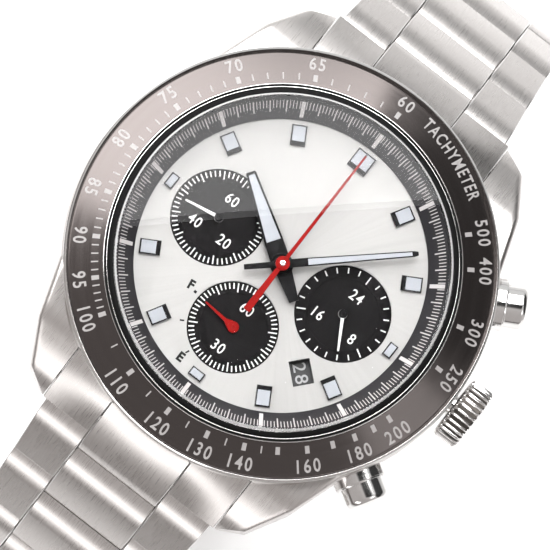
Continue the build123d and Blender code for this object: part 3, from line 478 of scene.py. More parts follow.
def loft(bm, sections):
    """Add a closed solid through a row of closed sections with equal numbers of points."""
    rows = [[bm.verts.new(point) for point in section] for section in sections]
    stitch(bm, rows)
    bm.faces.new(rows[0])
    bm.faces.new(list(reversed(rows[-1])))


def height_at(line, y):
    """Height of an open line of (y, z) points at y."""
    for (y0, z0), (y1, z1) in zip(line, line[1:]):
        if y <= y1:
            return z0 + (z1 - z0) * max(0.0, y - y0) / (y1 - y0)
    return line[-1][1]


def piece(name, bm, finish, body, stands_for=(), sharp=32, weld=True):
    """Turn a bmesh drawn in millimetres into a piece that rides on a body."""
    if weld:
        bmesh.ops.remove_doubles(bm, verts=bm.verts, dist=1e-5)
    bmesh.ops.recalc_face_normals(bm, faces=bm.faces)
    for face in bm.faces:
        face.smooth = True
    for edge in bm.edges:
        if edge.is_manifold and edge.calc_face_angle(0) > radians(sharp):
            edge.smooth = False
    bm.transform(Matrix.Scale(MM, 4))
    mesh = bpy.data.meshes.new(name)
    bm.to_mesh(mesh)
    bm.free()
    mesh.materials.append(MATERIALS[finish])
    made = bpy.data.objects.new(name, mesh)
    scene.collection.objects.link(made)
    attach(made, body)
    if stands_for:
        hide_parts(*stands_for)
    flats = made.modifiers.new("flats", "WEIGHTED_NORMAL")
    flats.keep_sharp = True
    return made


def edge_break(obj, width, finish=None, segments=2, angle=38):
    """Bevel every corner sharper than an angle, if asked in another finish."""
    obj.modifiers.clear()
    bevel = obj.modifiers.new("edge_break", "BEVEL")
    bevel.width = width * MM
    bevel.segments = segments
    bevel.limit_method = "ANGLE"
    bevel.angle_limit = radians(angle)
    bevel.harden_normals = True
    if finish:
        obj.data.materials.append(MATERIALS[finish])
        bevel.material = 1
    return obj


def axes_matrix(x_axis, y_axis, z_axis, origin):
    """Matrix whose local axes point along three vectors, placed at a point."""
    rows = [(x_axis[i], y_axis[i], z_axis[i], origin[i]) for i in range(3)]
    return Matrix((*rows, (0, 0, 0, 1)))


def radial_place(angle, z):
    """Matrix that turns local z into the outward direction at a clock angle."""
    outward, up = Vector((*clock(angle, 1), 0)), Vector((0, 0, 1))
    return axes_matrix(up.cross(outward), up, outward, (0, 0, z))


# ---------------------------------------------------------------- printing helpers
def text_shape(body, height, squeeze=1.0, weight=0.0, spacing=1.0):
    """Points (u, v, w) and faces of solid lettering, centred, its capitals of a height in millimetres."""
    curve = bpy.data.curves.new("lettering", "FONT")
    curve.body = body
    curve.align_x = "CENTER"
    curve.resolution_u = 3
    curve.offset = weight
    curve.space_character = spacing
    curve.extrude = PRINT_DEPTH / 2
    holder = bpy.data.objects.new("lettering", curve)
    scene.collection.objects.link(holder)
    bpy.context.view_layer.update()
    mesh = bpy.data.meshes.new_from_object(holder.evaluated_get(bpy.context.evaluated_depsgraph_get()))
    across, along = [v.co.x for v in mesh.vertices], [v.co.y for v in mesh.vertices]
    middle_x, middle_y = (min(across) + max(across)) / 2, (max(along) + min(along)) / 2
    scale = height / (max(along) - min(along))
    points = [((v.co.x - middle_x) * scale * squeeze, (v.co.y - middle_y) * scale, v.co.z)
              for v in mesh.vertices]
    faces = [tuple(p.vertices) for p in mesh.polygons]
    bpy.data.objects.remove(holder)
    bpy.data.curves.remove(curve)
    bpy.data.meshes.remove(mesh)
    return points, faces


def add_shape(bm, shape, place):
    points, faces = shape
    verts = [bm.verts.new(place(*p)) for p in points]
    for face in faces:
        bm.faces.new([verts[i] for i in face])


def bar_shape(width, length):
    """A printed bar, its length along v."""
    half, depth = width / 2, PRINT_DEPTH / 2
    points = [(u, v, w) for v in (-length / 2, length / 2)
              for u, w in ((-half, -depth), (half, -depth), (half, depth), (-half, depth))]
    faces = [(k, (k + 1) % 4, 4 + (k + 1) % 4, 4 + k) for k in range(4)]
    return points, faces + [(3, 2, 1, 0), (4, 5, 6, 7)]


def on_surface(angle, r_mid, height, flipped=False):
    """Placing function for print on a surface of revolution whose height is a function of radius."""
    sense = -1 if flipped else 1

    def place(u, v, w):
        turn = radians(angle) + sense * u / r_mid
        r = r_mid + sense * v
        return (r * sin(turn), r * cos(turn), height(r) + w)
    return place


def on_dial(x0, y0, z, turn=0.0):
    """Placing function for print on a flat dial, turned clockwise by some degrees."""
    c, s = cos(radians(turn)), sin(radians(turn))

    def place(u, v, w):
        return (x0 + u * c + v * s, y0 - u * s + v * c, z + w)
    return place


def insert_height(r):
    share = (INSERT_R - r) / (INSERT_R - INSERT_BORE)
    return INSERT_OUTER_Z + share * (INSERT_INNER_Z - INSERT_OUTER_Z)


def chapter_height(r):
    share = (r - DIAL_VISIBLE_R) / (CHAPTER_TOP_R - DIAL_VISIBLE_R)
    return CHAPTER_LOW_Z + share * (CHAPTER_TOP_Z - CHAPTER_LOW_Z)


# ---------------------------------------------------------------- bezel and crystal
def make_bezel():
    """Polished ring with a fine groove in its lip, darkened by a black ring of painted shade, and the
    tachymeter insert.
    """
    lip = [(INSERT_BORE, 11.46), (16.88, 11.49), (16.83, 11.26), (16.69, 11.26), (16.64, 11.5), (16.56, 11.5),
           (16.53, 11.2)]
    ring = rounded([(BEZEL_BORE, CASE_TOP), (BEZEL_R - 0.5, CASE_TOP), (BEZEL_R, 9.0), (BEZEL_R, 10.0),
                    (INSERT_R + 0.15, 10.25), (INSERT_R, 9.95), (INSERT_R, 9.4), (INSERT_BORE, CRYSTAL_LOW_Z),
                    *lip, (SEAL_R, CRYSTAL_LOW_Z), (SEAL_R, 10.5), (BEZEL_BORE, 10.5)], 0.03)
    piece("bezel_ring_polished", lathe(ring), "polished_steel", "case", ["bezel_ring"])
    # A black ring in the lip's groove: painted shade.
    groove = [(16.67, 11.2), (16.85, 11.2), (16.85, 11.42), (16.67, 11.42)]
    piece("bezel_lip_painted_shade", lathe(groove), "gasket", "case")
    insert = rounded([(INSERT_R, 9.42), (INSERT_R, INSERT_OUTER_Z), (INSERT_BORE, INSERT_INNER_Z),
                      (INSERT_BORE, 10.93)], 0.04, 2)
    piece("tachymeter_insert", lathe(insert), "insert", "case", ["bezel_insert"])


def tachymeter_angle(speed):
    """Clock angle of a speed: the seconds that one unit takes, at 6 degrees each."""
    return 3600 / speed * 6 % 360


def make_tachymeter_print():
    """Word, numbers and marks on the insert; the numbers of its lower half have their feet outwards."""
    bm = bmesh.new()
    height, weight = 1.27, 0.016
    number_r, mark_r = 19.20, 17.72
    outward = (60, 500, 400, 300, 250, 80, 75, 70, 65)
    inward = (200, 180, 160, 140, 130, 120, 110, 100, 95, 90, 85)
    numbered = outward + inward
    for speed in numbered:
        shape = text_shape(str(speed), height, 0.84, weight, 1.26)
        place = on_surface(tachymeter_angle(speed), number_r, insert_height, speed in inward)
        add_shape(bm, shape, place)
    word = text_shape("TACHYMETER", height, 0.70, weight, 1.20)
    add_shape(bm, word, on_surface(20.4, number_r, insert_height))
    bold = numbered + (190, 170, 150)
    fine = (145, 135, 125, 115, 105, *(s for s in range(61, 100) if s not in numbered))
    for speeds, width, length in ((bold, 0.42, 0.7), (fine, 0.13, 0.66)):
        for speed in speeds:
            add_shape(bm, bar_shape(width, length), on_surface(tachymeter_angle(speed), mark_r, insert_height))
    piece("tachymeter_print", bm, "scale", "case", weld=False)


def make_crystal():
    """Domed crystal, a light grey ring at its ground edge that is a painted highlight, and the black seal
    round it.
    """
    rise = CRYSTAL_TOP - CRYSTAL_EDGE_Z
    dome_r = (CRYSTAL_FLAT_R**2 + rise**2) / (2 * rise)
    steps = 60
    dome = []
    for k in range(steps + 1):
        r = CRYSTAL_FLAT_R * (1 - (k / steps) ** 1.5)
        dome.append((r, CRYSTAL_TOP - dome_r + sqrt(dome_r**2 - r * r)))
    side = CRYSTAL_R - 0.03
    profile = [(0, CRYSTAL_LOW_Z), (15.6, CRYSTAL_LOW_Z), (side, CRYSTAL_LOW_Z), (side, 12.2), *dome]
    piece("crystal_glass_top", lathe(profile), "crystal", "case", ["crystal"], sharp=12)
    # A light grey ring at the crystal's edge: a painted highlight that stands for the chamfer's reflection.
    edge = rounded([(15.76, 12.30), (15.93, 12.1), (15.93, 12.29), (15.77, 12.45)], 0.03, 2)
    piece("crystal_edge_painted_highlight", lathe(edge), "ground", "case")
    seal = rounded([(CRYSTAL_R, 11.9), (CRYSTAL_R, CRYSTAL_LOW_Z), (15.92, CRYSTAL_LOW_Z), (15.92, 10.5),
                    (SEAL_R, 10.5), (SEAL_R, 11.0), (16.52, 11.25), (16.49, 11.6), (16.3, 11.85)], 0.05)
    piece("crystal_seal", lathe(seal), "gasket", "case", ["crystal_gasket"])


# ---------------------------------------------------------------- dial
def make_chapter_ring():
    """Sloping ring under the crystal, with five ticks to a second."""
    profile = rounded([(DIAL_VISIBLE_R, DIAL_TOP), (DIAL_R, DIAL_TOP), (DIAL_R, CHAPTER_TOP_Z),
                       (CHAPTER_TOP_R, CHAPTER_TOP_Z), (DIAL_VISIBLE_R, CHAPTER_LOW_Z)], 0.04, 2)
    piece("chapter_ring_black", lathe(profile), "chapter", "case", ["chapter_ring"])
    bm = bmesh.new()
    outer, ticks = 15.42, 300
    for tick in range(ticks):
        if tick % 25 == 0:
            width, inner = 0.38, 14.08
        elif tick % 5 == 0:
            width, inner = 0.12, 14.45
        else:
            width, inner = 0.08, 14.78
        place = on_surface(tick * 360 / ticks, (outer + inner) / 2, chapter_height)
        add_shape(bm, bar_shape(width, outer - inner), place)
    piece("seconds_track_print", bm, "scale", "case", weld=False)


def window_outline(length, width):
    """Corners of the date window or a frame round it, in dial coordinates."""
    place = on_dial(*clock(DATE_ANGLE, DATE_R), 0, DATE_ANGLE)
    half_u, half_v = width / 2, length / 2
    return [place(u, v, 0)[:2] for u, v in ((-half_u, -half_v), (half_u, -half_v), (half_u, half_v),
                                            (-half_u, half_v))]


def loose(name, bm):
    """A temporary object in metres, for cutting."""
    bmesh.ops.recalc_face_normals(bm, faces=bm.faces)
    bm.transform(Matrix.Scale(MM, 4))
    mesh = bpy.data.meshes.new(name)
    bm.to_mesh(mesh)
    bm.free()
    made = bpy.data.objects.new(name, mesh)
    scene.collection.objects.link(made)
    return made


def carved(blank, tool):
    """The blank with the tool cut out of it, as a bmesh in millimetres; both are used up."""
    modifier = blank.modifiers.new("cut", "BOOLEAN")
    modifier.operation = "DIFFERENCE"
    modifier.object = tool
    modifier.solver = "EXACT"
    bpy.context.view_layer.update()
    mesh = bpy.data.meshes.new_from_object(blank.evaluated_get(bpy.context.evaluated_depsgraph_get()))
    for spare in (blank, tool):
        bpy.data.objects.remove(spare)
    bm = bmesh.new()
    bm.from_mesh(mesh)
    bm.transform(Matrix.Scale(1 / MM, 4))
    bpy.data.meshes.remove(mesh)
    return bm


def make_dial():
    """Dial plate with stepped sub-dials and the date window cut out of it."""
    profile = [(CENTRE_HOLE_R, DIAL_BOTTOM), (DIAL_R, DIAL_BOTTOM), (DIAL_R, DIAL_TOP),
               (CENTRE_HOLE_R, DIAL_TOP)]
    plate = loose("dial_plate", lathe(rounded(profile, 0.02, 1), 360))
    cutters = bmesh.new()
    for hour, (x, y) in SUBDIALS.items():
        prism(cutters, circle(SUBDIAL_R[hour], 180, x, y), DIAL_TOP - RECESS, DIAL_TOP + 1)
    outer, inner = window_outline(*DATE_WINDOW), window_outline(*(size - 0.1 for size in DATE_WINDOW))
    prism(cutters, outer, DIAL_BOTTOM - 1, DIAL_TOP + 1)
    bm = carved(plate, loose("dial_cutters", cutters))
    dial = piece("dial_plate_silver", bm, "dial", "case", ["dial"], sharp=25)
    edge_break(dial, 0.03, segments=1)
    for hour, (x, y) in SUBDIALS.items():
        make_subdial(hour, x, y)
    bm = bmesh.new()
    low, high = DIAL_BOTTOM, DIAL_TOP + 0.01
    rows = [[bm.verts.new((*p, z)) for p in ring] for ring, z in
            ((outer, low), (outer, high), (inner, high), (inner, low))]
    stitch(bm, rows, closed=True)
    piece("date_window_frame", bm, "ink", "case")


def make_subdial(hour, x, y):
    """Black disc in its recess, with a raised track and fine grooves in the middle."""
    radius = SUBDIAL_R[hour]
    floor = DIAL_TOP - RECESS
    track, land, groove = floor + 0.07, floor + 0.045, floor + 0.052
    track_in, groove_pitch = radius - 1.15, 0.11
    profile = [(0.45, floor), (radius - 0.02, floor), (radius - 0.02, floor + 0.055), (radius - 0.05, track),
               (track_in, track)]
    r = track_in - 0.02
    while r > 0.6:
        profile += [(r, land), (r - groove_pitch / 2, groove)]
        r -= groove_pitch
    profile += [(0.45, land)]
    place = Matrix.Translation((x, y, 0))
    piece(f"subdial_{hour}_disc", lathe(profile, 160, place), "subdial", "case")


SUBDIAL_MARKS = {
    # ticks, long every, outer radius, short length, long length, width, numerals (text, x, y)
    "9": (60, 5, 4.42, 0.55, 0.80, 0.12, (("60", 0, 2.1), ("20", 1.75, -1.5), ("40", -1.6, -1.55))),
    "6": (60, 5, 4.18, 0.55, 0.85, 0.12, (("60", 0.02, 2.15), ("30", 0.03, -2.25))),
    "3": (24, 8, 4.38, 0.52, 0.85, 0.12, (("24", 0.05, 2.1), ("8", 2.1, -1.35), ("16", -1.85, -1.38))),
}


def make_subdial_print():
    bm = bmesh.new()
    z = DIAL_TOP - RECESS + 0.075
    for hour, (x, y) in SUBDIALS.items():
        ticks, every, outer, short, long, width, numerals = SUBDIAL_MARKS[hour]
        for k in range(ticks):
            length = long if k % every == 0 else short
            angle = 360 * k / ticks
            dx, dy = clock(angle, outer - length / 2)
            add_shape(bm, bar_shape(width, length), on_dial(x + dx, y + dy, z, angle))
        for body, u, v in numerals:
            shape = text_shape(body, 1.05, 0.86, 0.006, 1.12)
            add_shape(bm, shape, on_dial(x + u, y + v, z - 0.015))
    piece("subdial_print", bm, "white", "case", weld=False)


def make_gauge_print():
    """Reserve gauge beside the counter: full and empty letters, a dot and two short marks."""
    x, y = SUBDIALS["6"]
    z = DIAL_TOP + 0.01
    bm = bmesh.new()
    for body, dx, dy, turn in (("F", -5.5, 0.78, -8), ("E", -2.15, -5.2, 0)):
        add_shape(bm, text_shape(body, 0.95, 1.0, 0.045), on_dial(x + dx, y + dy, z, turn))
    for dx, dy, width, length, turn in ((-4.82, 0.46, 0.26, 0.28, 95), (-4.16, -2.42, 0.15, 0.42, 240),
                                        (-1.96, -4.46, 0.15, 0.42, 204)):
        add_shape(bm, bar_shape(width, length), on_dial(x + dx, y + dy, z, turn))
    piece("reserve_gauge_print", bm, "ink", "case", weld=False)


def block(bm, place, sides, low, high, inset):
    """Add a box on the dial with a bevelled top; sides are its limits u0, u1, v0 and v1."""
    u0, u1, v0, v1 = sides
    rows = []
    for z, d in ((low, 0.0), (high - inset, 0.0), (high, inset)):
        corners = ((u0 + d, v0 + d), (u1 - d, v0 + d), (u1 - d, v1 - d), (u0 + d, v1 - d))
        rows.append([bm.verts.new(place(u, v, z)) for u, v in corners])
    stitch(bm, rows)
    bm.faces.new(rows[-1])
    bm.faces.new(list(reversed(rows[0])))


def make_markers():
    """Applied hour blocks: polished sides, lume on top and a black cap at the inner end."""
    body_bm, lume_bm, cap_bm = bmesh.new(), bmesh.new(), bmesh.new()
    top, sunk, rim, split = DIAL_TOP + MARKER_HEIGHT, 0.05, 0.11, 0.07
    for hour in range(1, 13):
        short = hour in (3, 6, 9)
        inner = MARKER_SHORT_INNER if short else MARKER_INNER
        half_u = (MARKER_12_W if hour == 12 else MARKER_W) / 2
        half_v = (MARKER_OUTER - inner) / 2
        place = on_dial(*clock(30 * hour, (inner + MARKER_OUTER) / 2), 0, 30 * hour)
        block(body_bm, place, (-half_u, half_u, -half_v, half_v), DIAL_TOP, top, 0.07)
        cap = 0.0 if short else MARKER_CAP
        halves = ((-half_u + rim, -split), (split, half_u - rim)) if hour == 12 else \
            ((-half_u + rim, half_u - rim),)
        for u0, u1 in halves:
            sides = (u0, u1, -half_v + max(cap + 0.02, rim), half_v - rim)
            block(lume_bm, place, sides, top - sunk, top + 0.03, 0.05)
        if cap:
            sides = (-half_u + 0.04, half_u - 0.04, -half_v + 0.04, -half_v + cap)
            block(cap_bm, place, sides, top - sunk, top + 0.02, 0.02)
    piece("hour_marker_blocks", body_bm, "marker", "case", ["hour_markers"])
    piece("hour_marker_lume", lume_bm, "lume", "case")
    piece("hour_marker_caps", cap_bm, "lacquer", "case")


def make_date_disc():
    """Ring with inner teeth, one for each day, and the numerals of the month on it."""
    days, steps = 31, 4 * 31
    bottom, top = 6.9, 7.1
    teeth = [clock(i * 180 / days, 8.6 if i % 2 else 8.95) for i in range(2 * days)]
    outer = [clock(i * 360 / steps, 12.5) for i in range(steps)]
    inner = [teeth[i // 2] if i % 2 == 0 else tuple((a + b) / 2 for a, b in
             zip(teeth[i // 2], teeth[(i // 2 + 1) % len(teeth)])) for i in range(steps)]
    bm = bmesh.new()
    rows = [[bm.verts.new((*p, z)) for p in line] for line, z in
            ((inner, bottom), (outer, bottom), (outer, top), (inner, top))]
    stitch(bm, rows, closed=True)
    piece("date_disc_black", bm, "date", "date_disc", ["date_disc"])
    bm = bmesh.new()
    for day in range(1, days + 1):
        angle = DATE_ANGLE + (DATE_SHOWN - day) * 360 / days
        shape = text_shape(str(day), 1.25, 1.05, 0.004, 1.2)
        add_shape(bm, shape, on_dial(*clock(angle, DATE_R), top + 0.01, angle - 90))
    piece("date_numerals", bm, "pale", "date_disc", weld=False)


# ---------------------------------------------------------------- hands
def hand_place(angle, centre=(0.0, 0.0)):
    """Placing matrix of a hand: local y points along the hand."""
    return Matrix.Translation((*centre, 0)) @ Matrix.Rotation(-radians(angle), 4, "Z")


def symmetric(points):
    """Closed outline from (distance along, half width) points, tail to tip."""
    return [(half, along) for along, half in points] + [(-half, along) for along, half in reversed(points)]


def hub(bm, radius, hole, low, high, place, segments=64):
    """Round boss with a bore and a slightly domed rim."""
    profile = rounded([(hole, low), (radius, low), (radius, high), (hole, high)], 0.05, 3)
    merge(bm, lathe(profile, segments, place))


def make_lumed_hand(name, body, angle, heights, outline, hub_radii, hub_drop, edge, lume, lume_rise):
    """Black hand with a hub, and an inlay of lume that stands a little above it."""
    place = hand_place(angle)
    low, high = heights
    bm = bmesh.new()
    prism(bm, symmetric(outline), low, high, place)
    hub(bm, *hub_radii, low - hub_drop, high + 0.04, place)
    edge_break(piece(f"{name}_black", bm, "lacquer", body, [name]), edge)
    bm = bmesh.new()
    prism(bm, symmetric(lume), high - 0.05, high + lume_rise, place)
    edge_break(piece(f"{name}_lume", bm, "lume", body), 0.03)


def make_chrono_hand():
    place = hand_place(0)
    low, high = 9.95, 10.15
    bm = bmesh.new()
    prism(bm, symmetric([(-5.6, 0.33), (-5.5, 0.36), (-1.4, 0.27), (-0.7, 0.22), (0, 0.22), (0.7, 0.19),
                         (12.8, 0.10), (12.9, 0.05)]), low, high, place)
    hub(bm, 0.68, 0.19, low - 0.05, high + 0.08, place)
    edge_break(piece("chrono_seconds_hand_red", bm, "red", "chrono_seconds",
                     ["chrono_seconds_hand"]), 0.04)
    cap = rounded([(0, high), (0.27, high), (0.27, high + 0.12), (0.12, high + 0.13), (0.1, high + 0.05),
                   (0, high + 0.05)], 0.02, 2, closed=False)
    piece("chrono_arbor_cap", lathe(cap, 48, place), "polished_steel", "chrono_seconds")


def make_small_hand(name, node, hour, angle, body, finish, outline, hub_r):
    """Sub-dial hand, its hub and the arbor's end."""
    place = hand_place(angle, SUBDIALS[hour])
    low, high = 8.05, 8.2
    bm = bmesh.new()
    prism(bm, symmetric(outline), low, high, place)
    if finish == "red":
        hub(bm, hub_r, 0.19, low, high + 0.06, place)
    edge_break(piece(name, bm, finish, body, [node]), 0.03)
    if finish != "red":
        bm = bmesh.new()
        hub(bm, hub_r, 0.19, low - 0.02, high + 0.07, place)
        piece(f"{name}_hub", bm, "lacquer", body)
    cap = rounded([(0, high), (0.2, high), (0.2, high + 0.12), (0.1, high + 0.13), (0.08, high + 0.06),
                   (0, high + 0.06)], 0.02, 2, closed=False)
    piece(f"{name}_cap", lathe(cap, 40, place), "red" if finish == "red" else "lacquer", body)


def make_hands():
    outline = [(-3.66, 0.45), (-0.8, 0.75), (0.0, 0.92), (1.0, 0.92), (2.5, 0.90), (9.0, 0.5), (9.2, 0.42)]
    make_lumed_hand("hour_hand", "hour_train", TIME_HOUR, (8.75, 9.0), outline, (1.1, 0.86), 0.05, 0.05,
                    [(2.36, 0.70), (8.9, 0.30)], 0.05)
    outline = [(-3.6, 0.25), (-0.6, 0.30), (0, 0.40), (2.46, 0.40), (12.5, 0.27), (12.9, 0.18)]
    make_lumed_hand("minute_hand", "minute_train", TIME_MINUTE, (9.35, 9.57), outline, (0.8, 0.5), 0.04, 0.04,
                    [(2.46, 0.29), (12.3, 0.17)], 0.045)
    make_chrono_hand()
    needle = [(-0.3, 0.12), (0.0, 0.14), (0.5, 0.16), (3.4, 0.10), (3.55, 0.07)]
    make_small_hand("small_seconds_hand_white", "small_seconds_hand", "9", ANGLE_SECONDS, "small_seconds",
                    "white", needle, 0.42)
    teardrop = [(-0.35, 0.30), (0.0, 0.50), (0.45, 0.42), (1.0, 0.16), (3.4, 0.08), (3.5, 0.05)]
    make_small_hand("counter_hand_red", "chrono_minutes_hand", "6", ANGLE_COUNTER, "chrono_minutes",
                    "red", teardrop, 0.55)
    make_small_hand("day_hand_white", "hand_24h", "3", ANGLE_24H, "day_train", "white",
                    needle, 0.42)


# ---------------------------------------------------------------- controls
def make_crown():
    """Fluted crown over a dark sleeve of painted shade that shows between the flutes."""
    place = radial_place(90, STEM_Z)
    flutes, flute_depth = 30, 0.36
    flute_start, flute_end, smooth_r = 21.1, 23.35, 3.0

    def fluted(angle, r, z):
        if r < smooth_r or z < flute_start or z > flute_end:
            return r
        wave = cos(angle * flutes)
        return r - flute_depth * max(0.0, (1 - wave) / 2) ** 1.1

    profile = [(0, 22.2), (0.6, 22.2), (1.2, 22.2), (1.25, 20.95), (2.75, 20.95), (2.95, 21.05), (3.1, 21.15),
               (3.2, 21.3), (3.2, 23.15), (3.12, 23.3), (2.95, 23.42), (2.8, 23.5), (2.65, 23.62),
               (2.4, 23.70), (1.6, 23.74), (0, 23.75)]
    piece("crown_fluted", lathe(profile, 480, place, fluted), "polished_steel", "crown",
          ["crown"], sharp=40)
    # A dark sleeve under the flutes: painted shade that shows between them.
    piece("crown_flute_painted_shade", lathe([(2.5, 21.25), (3.03, 21.25), (3.03, 23.3), (2.5, 23.3)], 120, place),
          "groove", "crown")


def make_pushers():
    """Pusher caps on their stems, and the collars that they slide in."""
    collars = bmesh.new()
    collar = rounded([(2.16, 20.2), (COLLAR_R, 20.2), (COLLAR_R, 21.2), (2.5, 21.35), (COLLAR_R, 21.5),
                      (2.5, 21.8), (2.3, 21.8), (2.16, 21.7)], 0.06, 3)
    cap = [(0, 15.4), (0.6, 15.4), (0.6, 22.9), (1.55, 22.9), (1.55, 21.3)]
    cap += rounded([(2.1, 21.3), (2.1, 23.35), (1.9, 23.7), (1.2, 23.85), (0, 23.85)], 0.18, 5, closed=False)
    for name, angle in PUSHER_ANGLES.items():
        place = radial_place(angle, PUSHER_Z)
        piece(f"pusher_cap_{name}", lathe(cap, 96, place), "polished_steel", f"pusher_{name}",
              [f"pusher_{name}"])
        merge(collars, lathe(collar, 96, place))
    piece("pusher_collars", collars, "polished_steel", "case")


# ---------------------------------------------------------------- bracelet
def link_place(point, heading, side):
    """Matrix of a link's side view: local x along the link, y to its outer face, z across."""
    y, z = point
    angle = radians(heading)
    along = Vector((0, side * cos(angle), -sin(angle)))
    across = Vector((side, 0, 0))
    return axes_matrix(along, across.cross(along), across, (0, side * y, z))


def hinge_points():
    """Hinges of one half, (y, z) from the end link to the clasp."""
    points = [HINGE]
    for heading in LINK_HEADINGS:
        y, z = points[-1]
        points.append((y + PITCH * cos(radians(heading)), z - PITCH * sin(radians(heading))))
    return points


def shoulder(start, steps=12):
    """Rounded rise of a link's outer face: an arc from its start that levels out at the top."""
    slope = radians(SHOULDER_SLOPE)
    r = (LINK_TOP - start[1]) / (1 - cos(slope))
    run = r * sin(slope)
    points = []
    for k in range(steps + 1):
        left = slope * (1 - k / steps)
        points.append((start[0] + run - r * sin(left), LINK_TOP - r * (1 - cos(left))))
    return points


def centre_outline(cut_at=None):
    """Centre piece in side view: hollow at its near end, and round or cut off at its far end."""
    near = sqrt(HOLLOW_R**2 - SHOULDER_Z**2)
    far = PITCH + sqrt(KNUCKLE_R**2 - LINK_HALF_T**2)
    top = shoulder((near, SHOULDER_Z)) + [(PITCH + 0.55, LIP_Z)]
    if cut_at:
        top = [p for p in top if p[0] < cut_at] + [(cut_at, CUT_Z), (cut_at, -LINK_HALF_T)]
        nose = []
    else:
        nose = arc((PITCH + 0.62, 1.5), (PITCH + KNUCKLE_R, 0), (far, -LINK_HALF_T), 12)
    low = sqrt(HOLLOW_R**2 - LINK_HALF_T**2)
    hollow = arc((low, -LINK_HALF_T), (HOLLOW_R, 0), (near, SHOULDER_Z), 8)
    return top + nose + hollow[:-1]


def outer_outline(cut_at=None):
    """Outer piece in side view: round at its near end, and hollow or cut off at its far end."""
    near = -sqrt(KNUCKLE_R**2 - LINK_HALF_T**2)
    far = PITCH - sqrt(HOLLOW_R**2 - LINK_HALF_T**2)
    rise = -sqrt(KNUCKLE_R**2 - SHOULDER_Z**2)
    knuckle = arc((near, -LINK_HALF_T), (-KNUCKLE_R, 0), (rise, SHOULDER_Z), 10)
    if cut_at:
        end = [(cut_at, CUT_Z), (cut_at, -LINK_HALF_T)]
    else:
        hollow = arc((far, LINK_HALF_T - 0.05), (PITCH - HOLLOW_R, 0), (far, -LINK_HALF_T), 8)
        end = [(far, LIP_Z)] + hollow
    return knuckle[:-1] + shoulder((rise, SHOULDER_Z)) + end


def make_link(name, place, near_w, far_w, cut_at):
    """Centre row, two outer rows that taper, and the pin ends on their sides."""
    bm = bmesh.new()
    prism(bm, centre_outline(cut_at), -CENTRE_HALF_W, CENTRE_HALF_W, place)
    centre = piece(f"{name}_centre", bm, "bracelet", name, [name])
    edge_break(centre, 0.10, "polished_steel")
    slope = (near_w - far_w) / PITCH
    rows = bmesh.new()
    inner = CENTRE_HALF_W + ROW_GAP
    prism(rows, outer_outline(cut_at), inner, lambda u, v: near_w - slope * u, place)
    prism(rows, outer_outline(cut_at), lambda u, v: -near_w + slope * u, -inner, place)
    edge_break(piece(f"{name}_outer_rows", rows, "bracelet", name), 0.14, "polished_steel")
    pins = bmesh.new()
    for u in (0, CROSS_PIN * PITCH):
        width = near_w - slope * u
        for sense in (-1, 1):
            turn = place @ Matrix.Translation((u, 0, sense * (width - 0.05))) @ \
                Matrix.Rotation(0 if sense > 0 else pi, 4, "X")
            hub(pins, 0.42, 0.05, 0, 0.065, turn, 32)
    piece(f"{name}_pin_ends", pins, "bare_steel", name)


def make_bracelet():
    """Both halves; the last link at 12 o'clock is cut square, where the clasp's cover starts."""
    points = hinge_points()
    for k, heading in enumerate(LINK_HEADINGS):
        for side, half in ((1, "12"), (-1, "6")):
            last = side > 0 and k == len(LINK_HEADINGS) - 1
            make_link(f"link_{half}_{k + 1}", link_place(points[k], heading, side), LINK_HALF_W[k],
                      LINK_HALF_W[k + 1], SQUARE_END if last else None)


# ---------------------------------------------------------------- case
def lug_sections(sx, sy):
    """Sections of one lug from inside the case to its tip, its outer edge rounded."""
    top = rounded(LUG_TOP, 1.0, 6, closed=False)
    steps, across = 44, 10
    edge_steps = (0.0, 0.02, 0.08, 0.2, 0.4, 0.7)     # shares of the last step across, for the rounding
    start = LUG_SIDE[0][0]
    sections = []
    for k in range(steps + 1):
        v = 1 - (1 - k / steps) ** 1.6
        inner_y = start + v * (LUG_TIP_Y - start)
        outer_y = start + v * (LUG_SIDE[-1][0] - start)
        width = height_at(LUG_SIDE, outer_y) - LUG_GAP
        loop = []
        for i in range(across + 1):
            u = i / across
            y = inner_y + u * (outer_y - inner_y)
            loop.append((LUG_GAP + u * width, y, height_at(LUG_LOW, y)))
        for i in range(across, -1, -1):
            for part in edge_steps if i == across else (0.0,):
                u = (i - part) / across
                y = inner_y + u * (outer_y - inner_y)
                from_edge = min(LUG_EDGE, (1 - u) * width)
                drop = LUG_EDGE - sqrt(LUG_EDGE**2 - (LUG_EDGE - from_edge) ** 2)
                low = height_at(LUG_LOW, y)
                loop.append((LUG_GAP + u * width, y, max(low + 0.01, height_at(top, y) - drop)))
        sections.append([(sx * x, sy * y, z) for x, y, z in loop])
    return sections


def side_holes(bm, holes):
    """Add radial cutters, for holes of (clock angle, height, radius, start)."""
    for angle, z, r, start in holes:
        prism(bm, circle(r, 48), start, 24, radial_place(angle, z))
    bmesh.ops.recalc_face_normals(bm, faces=bm.faces)


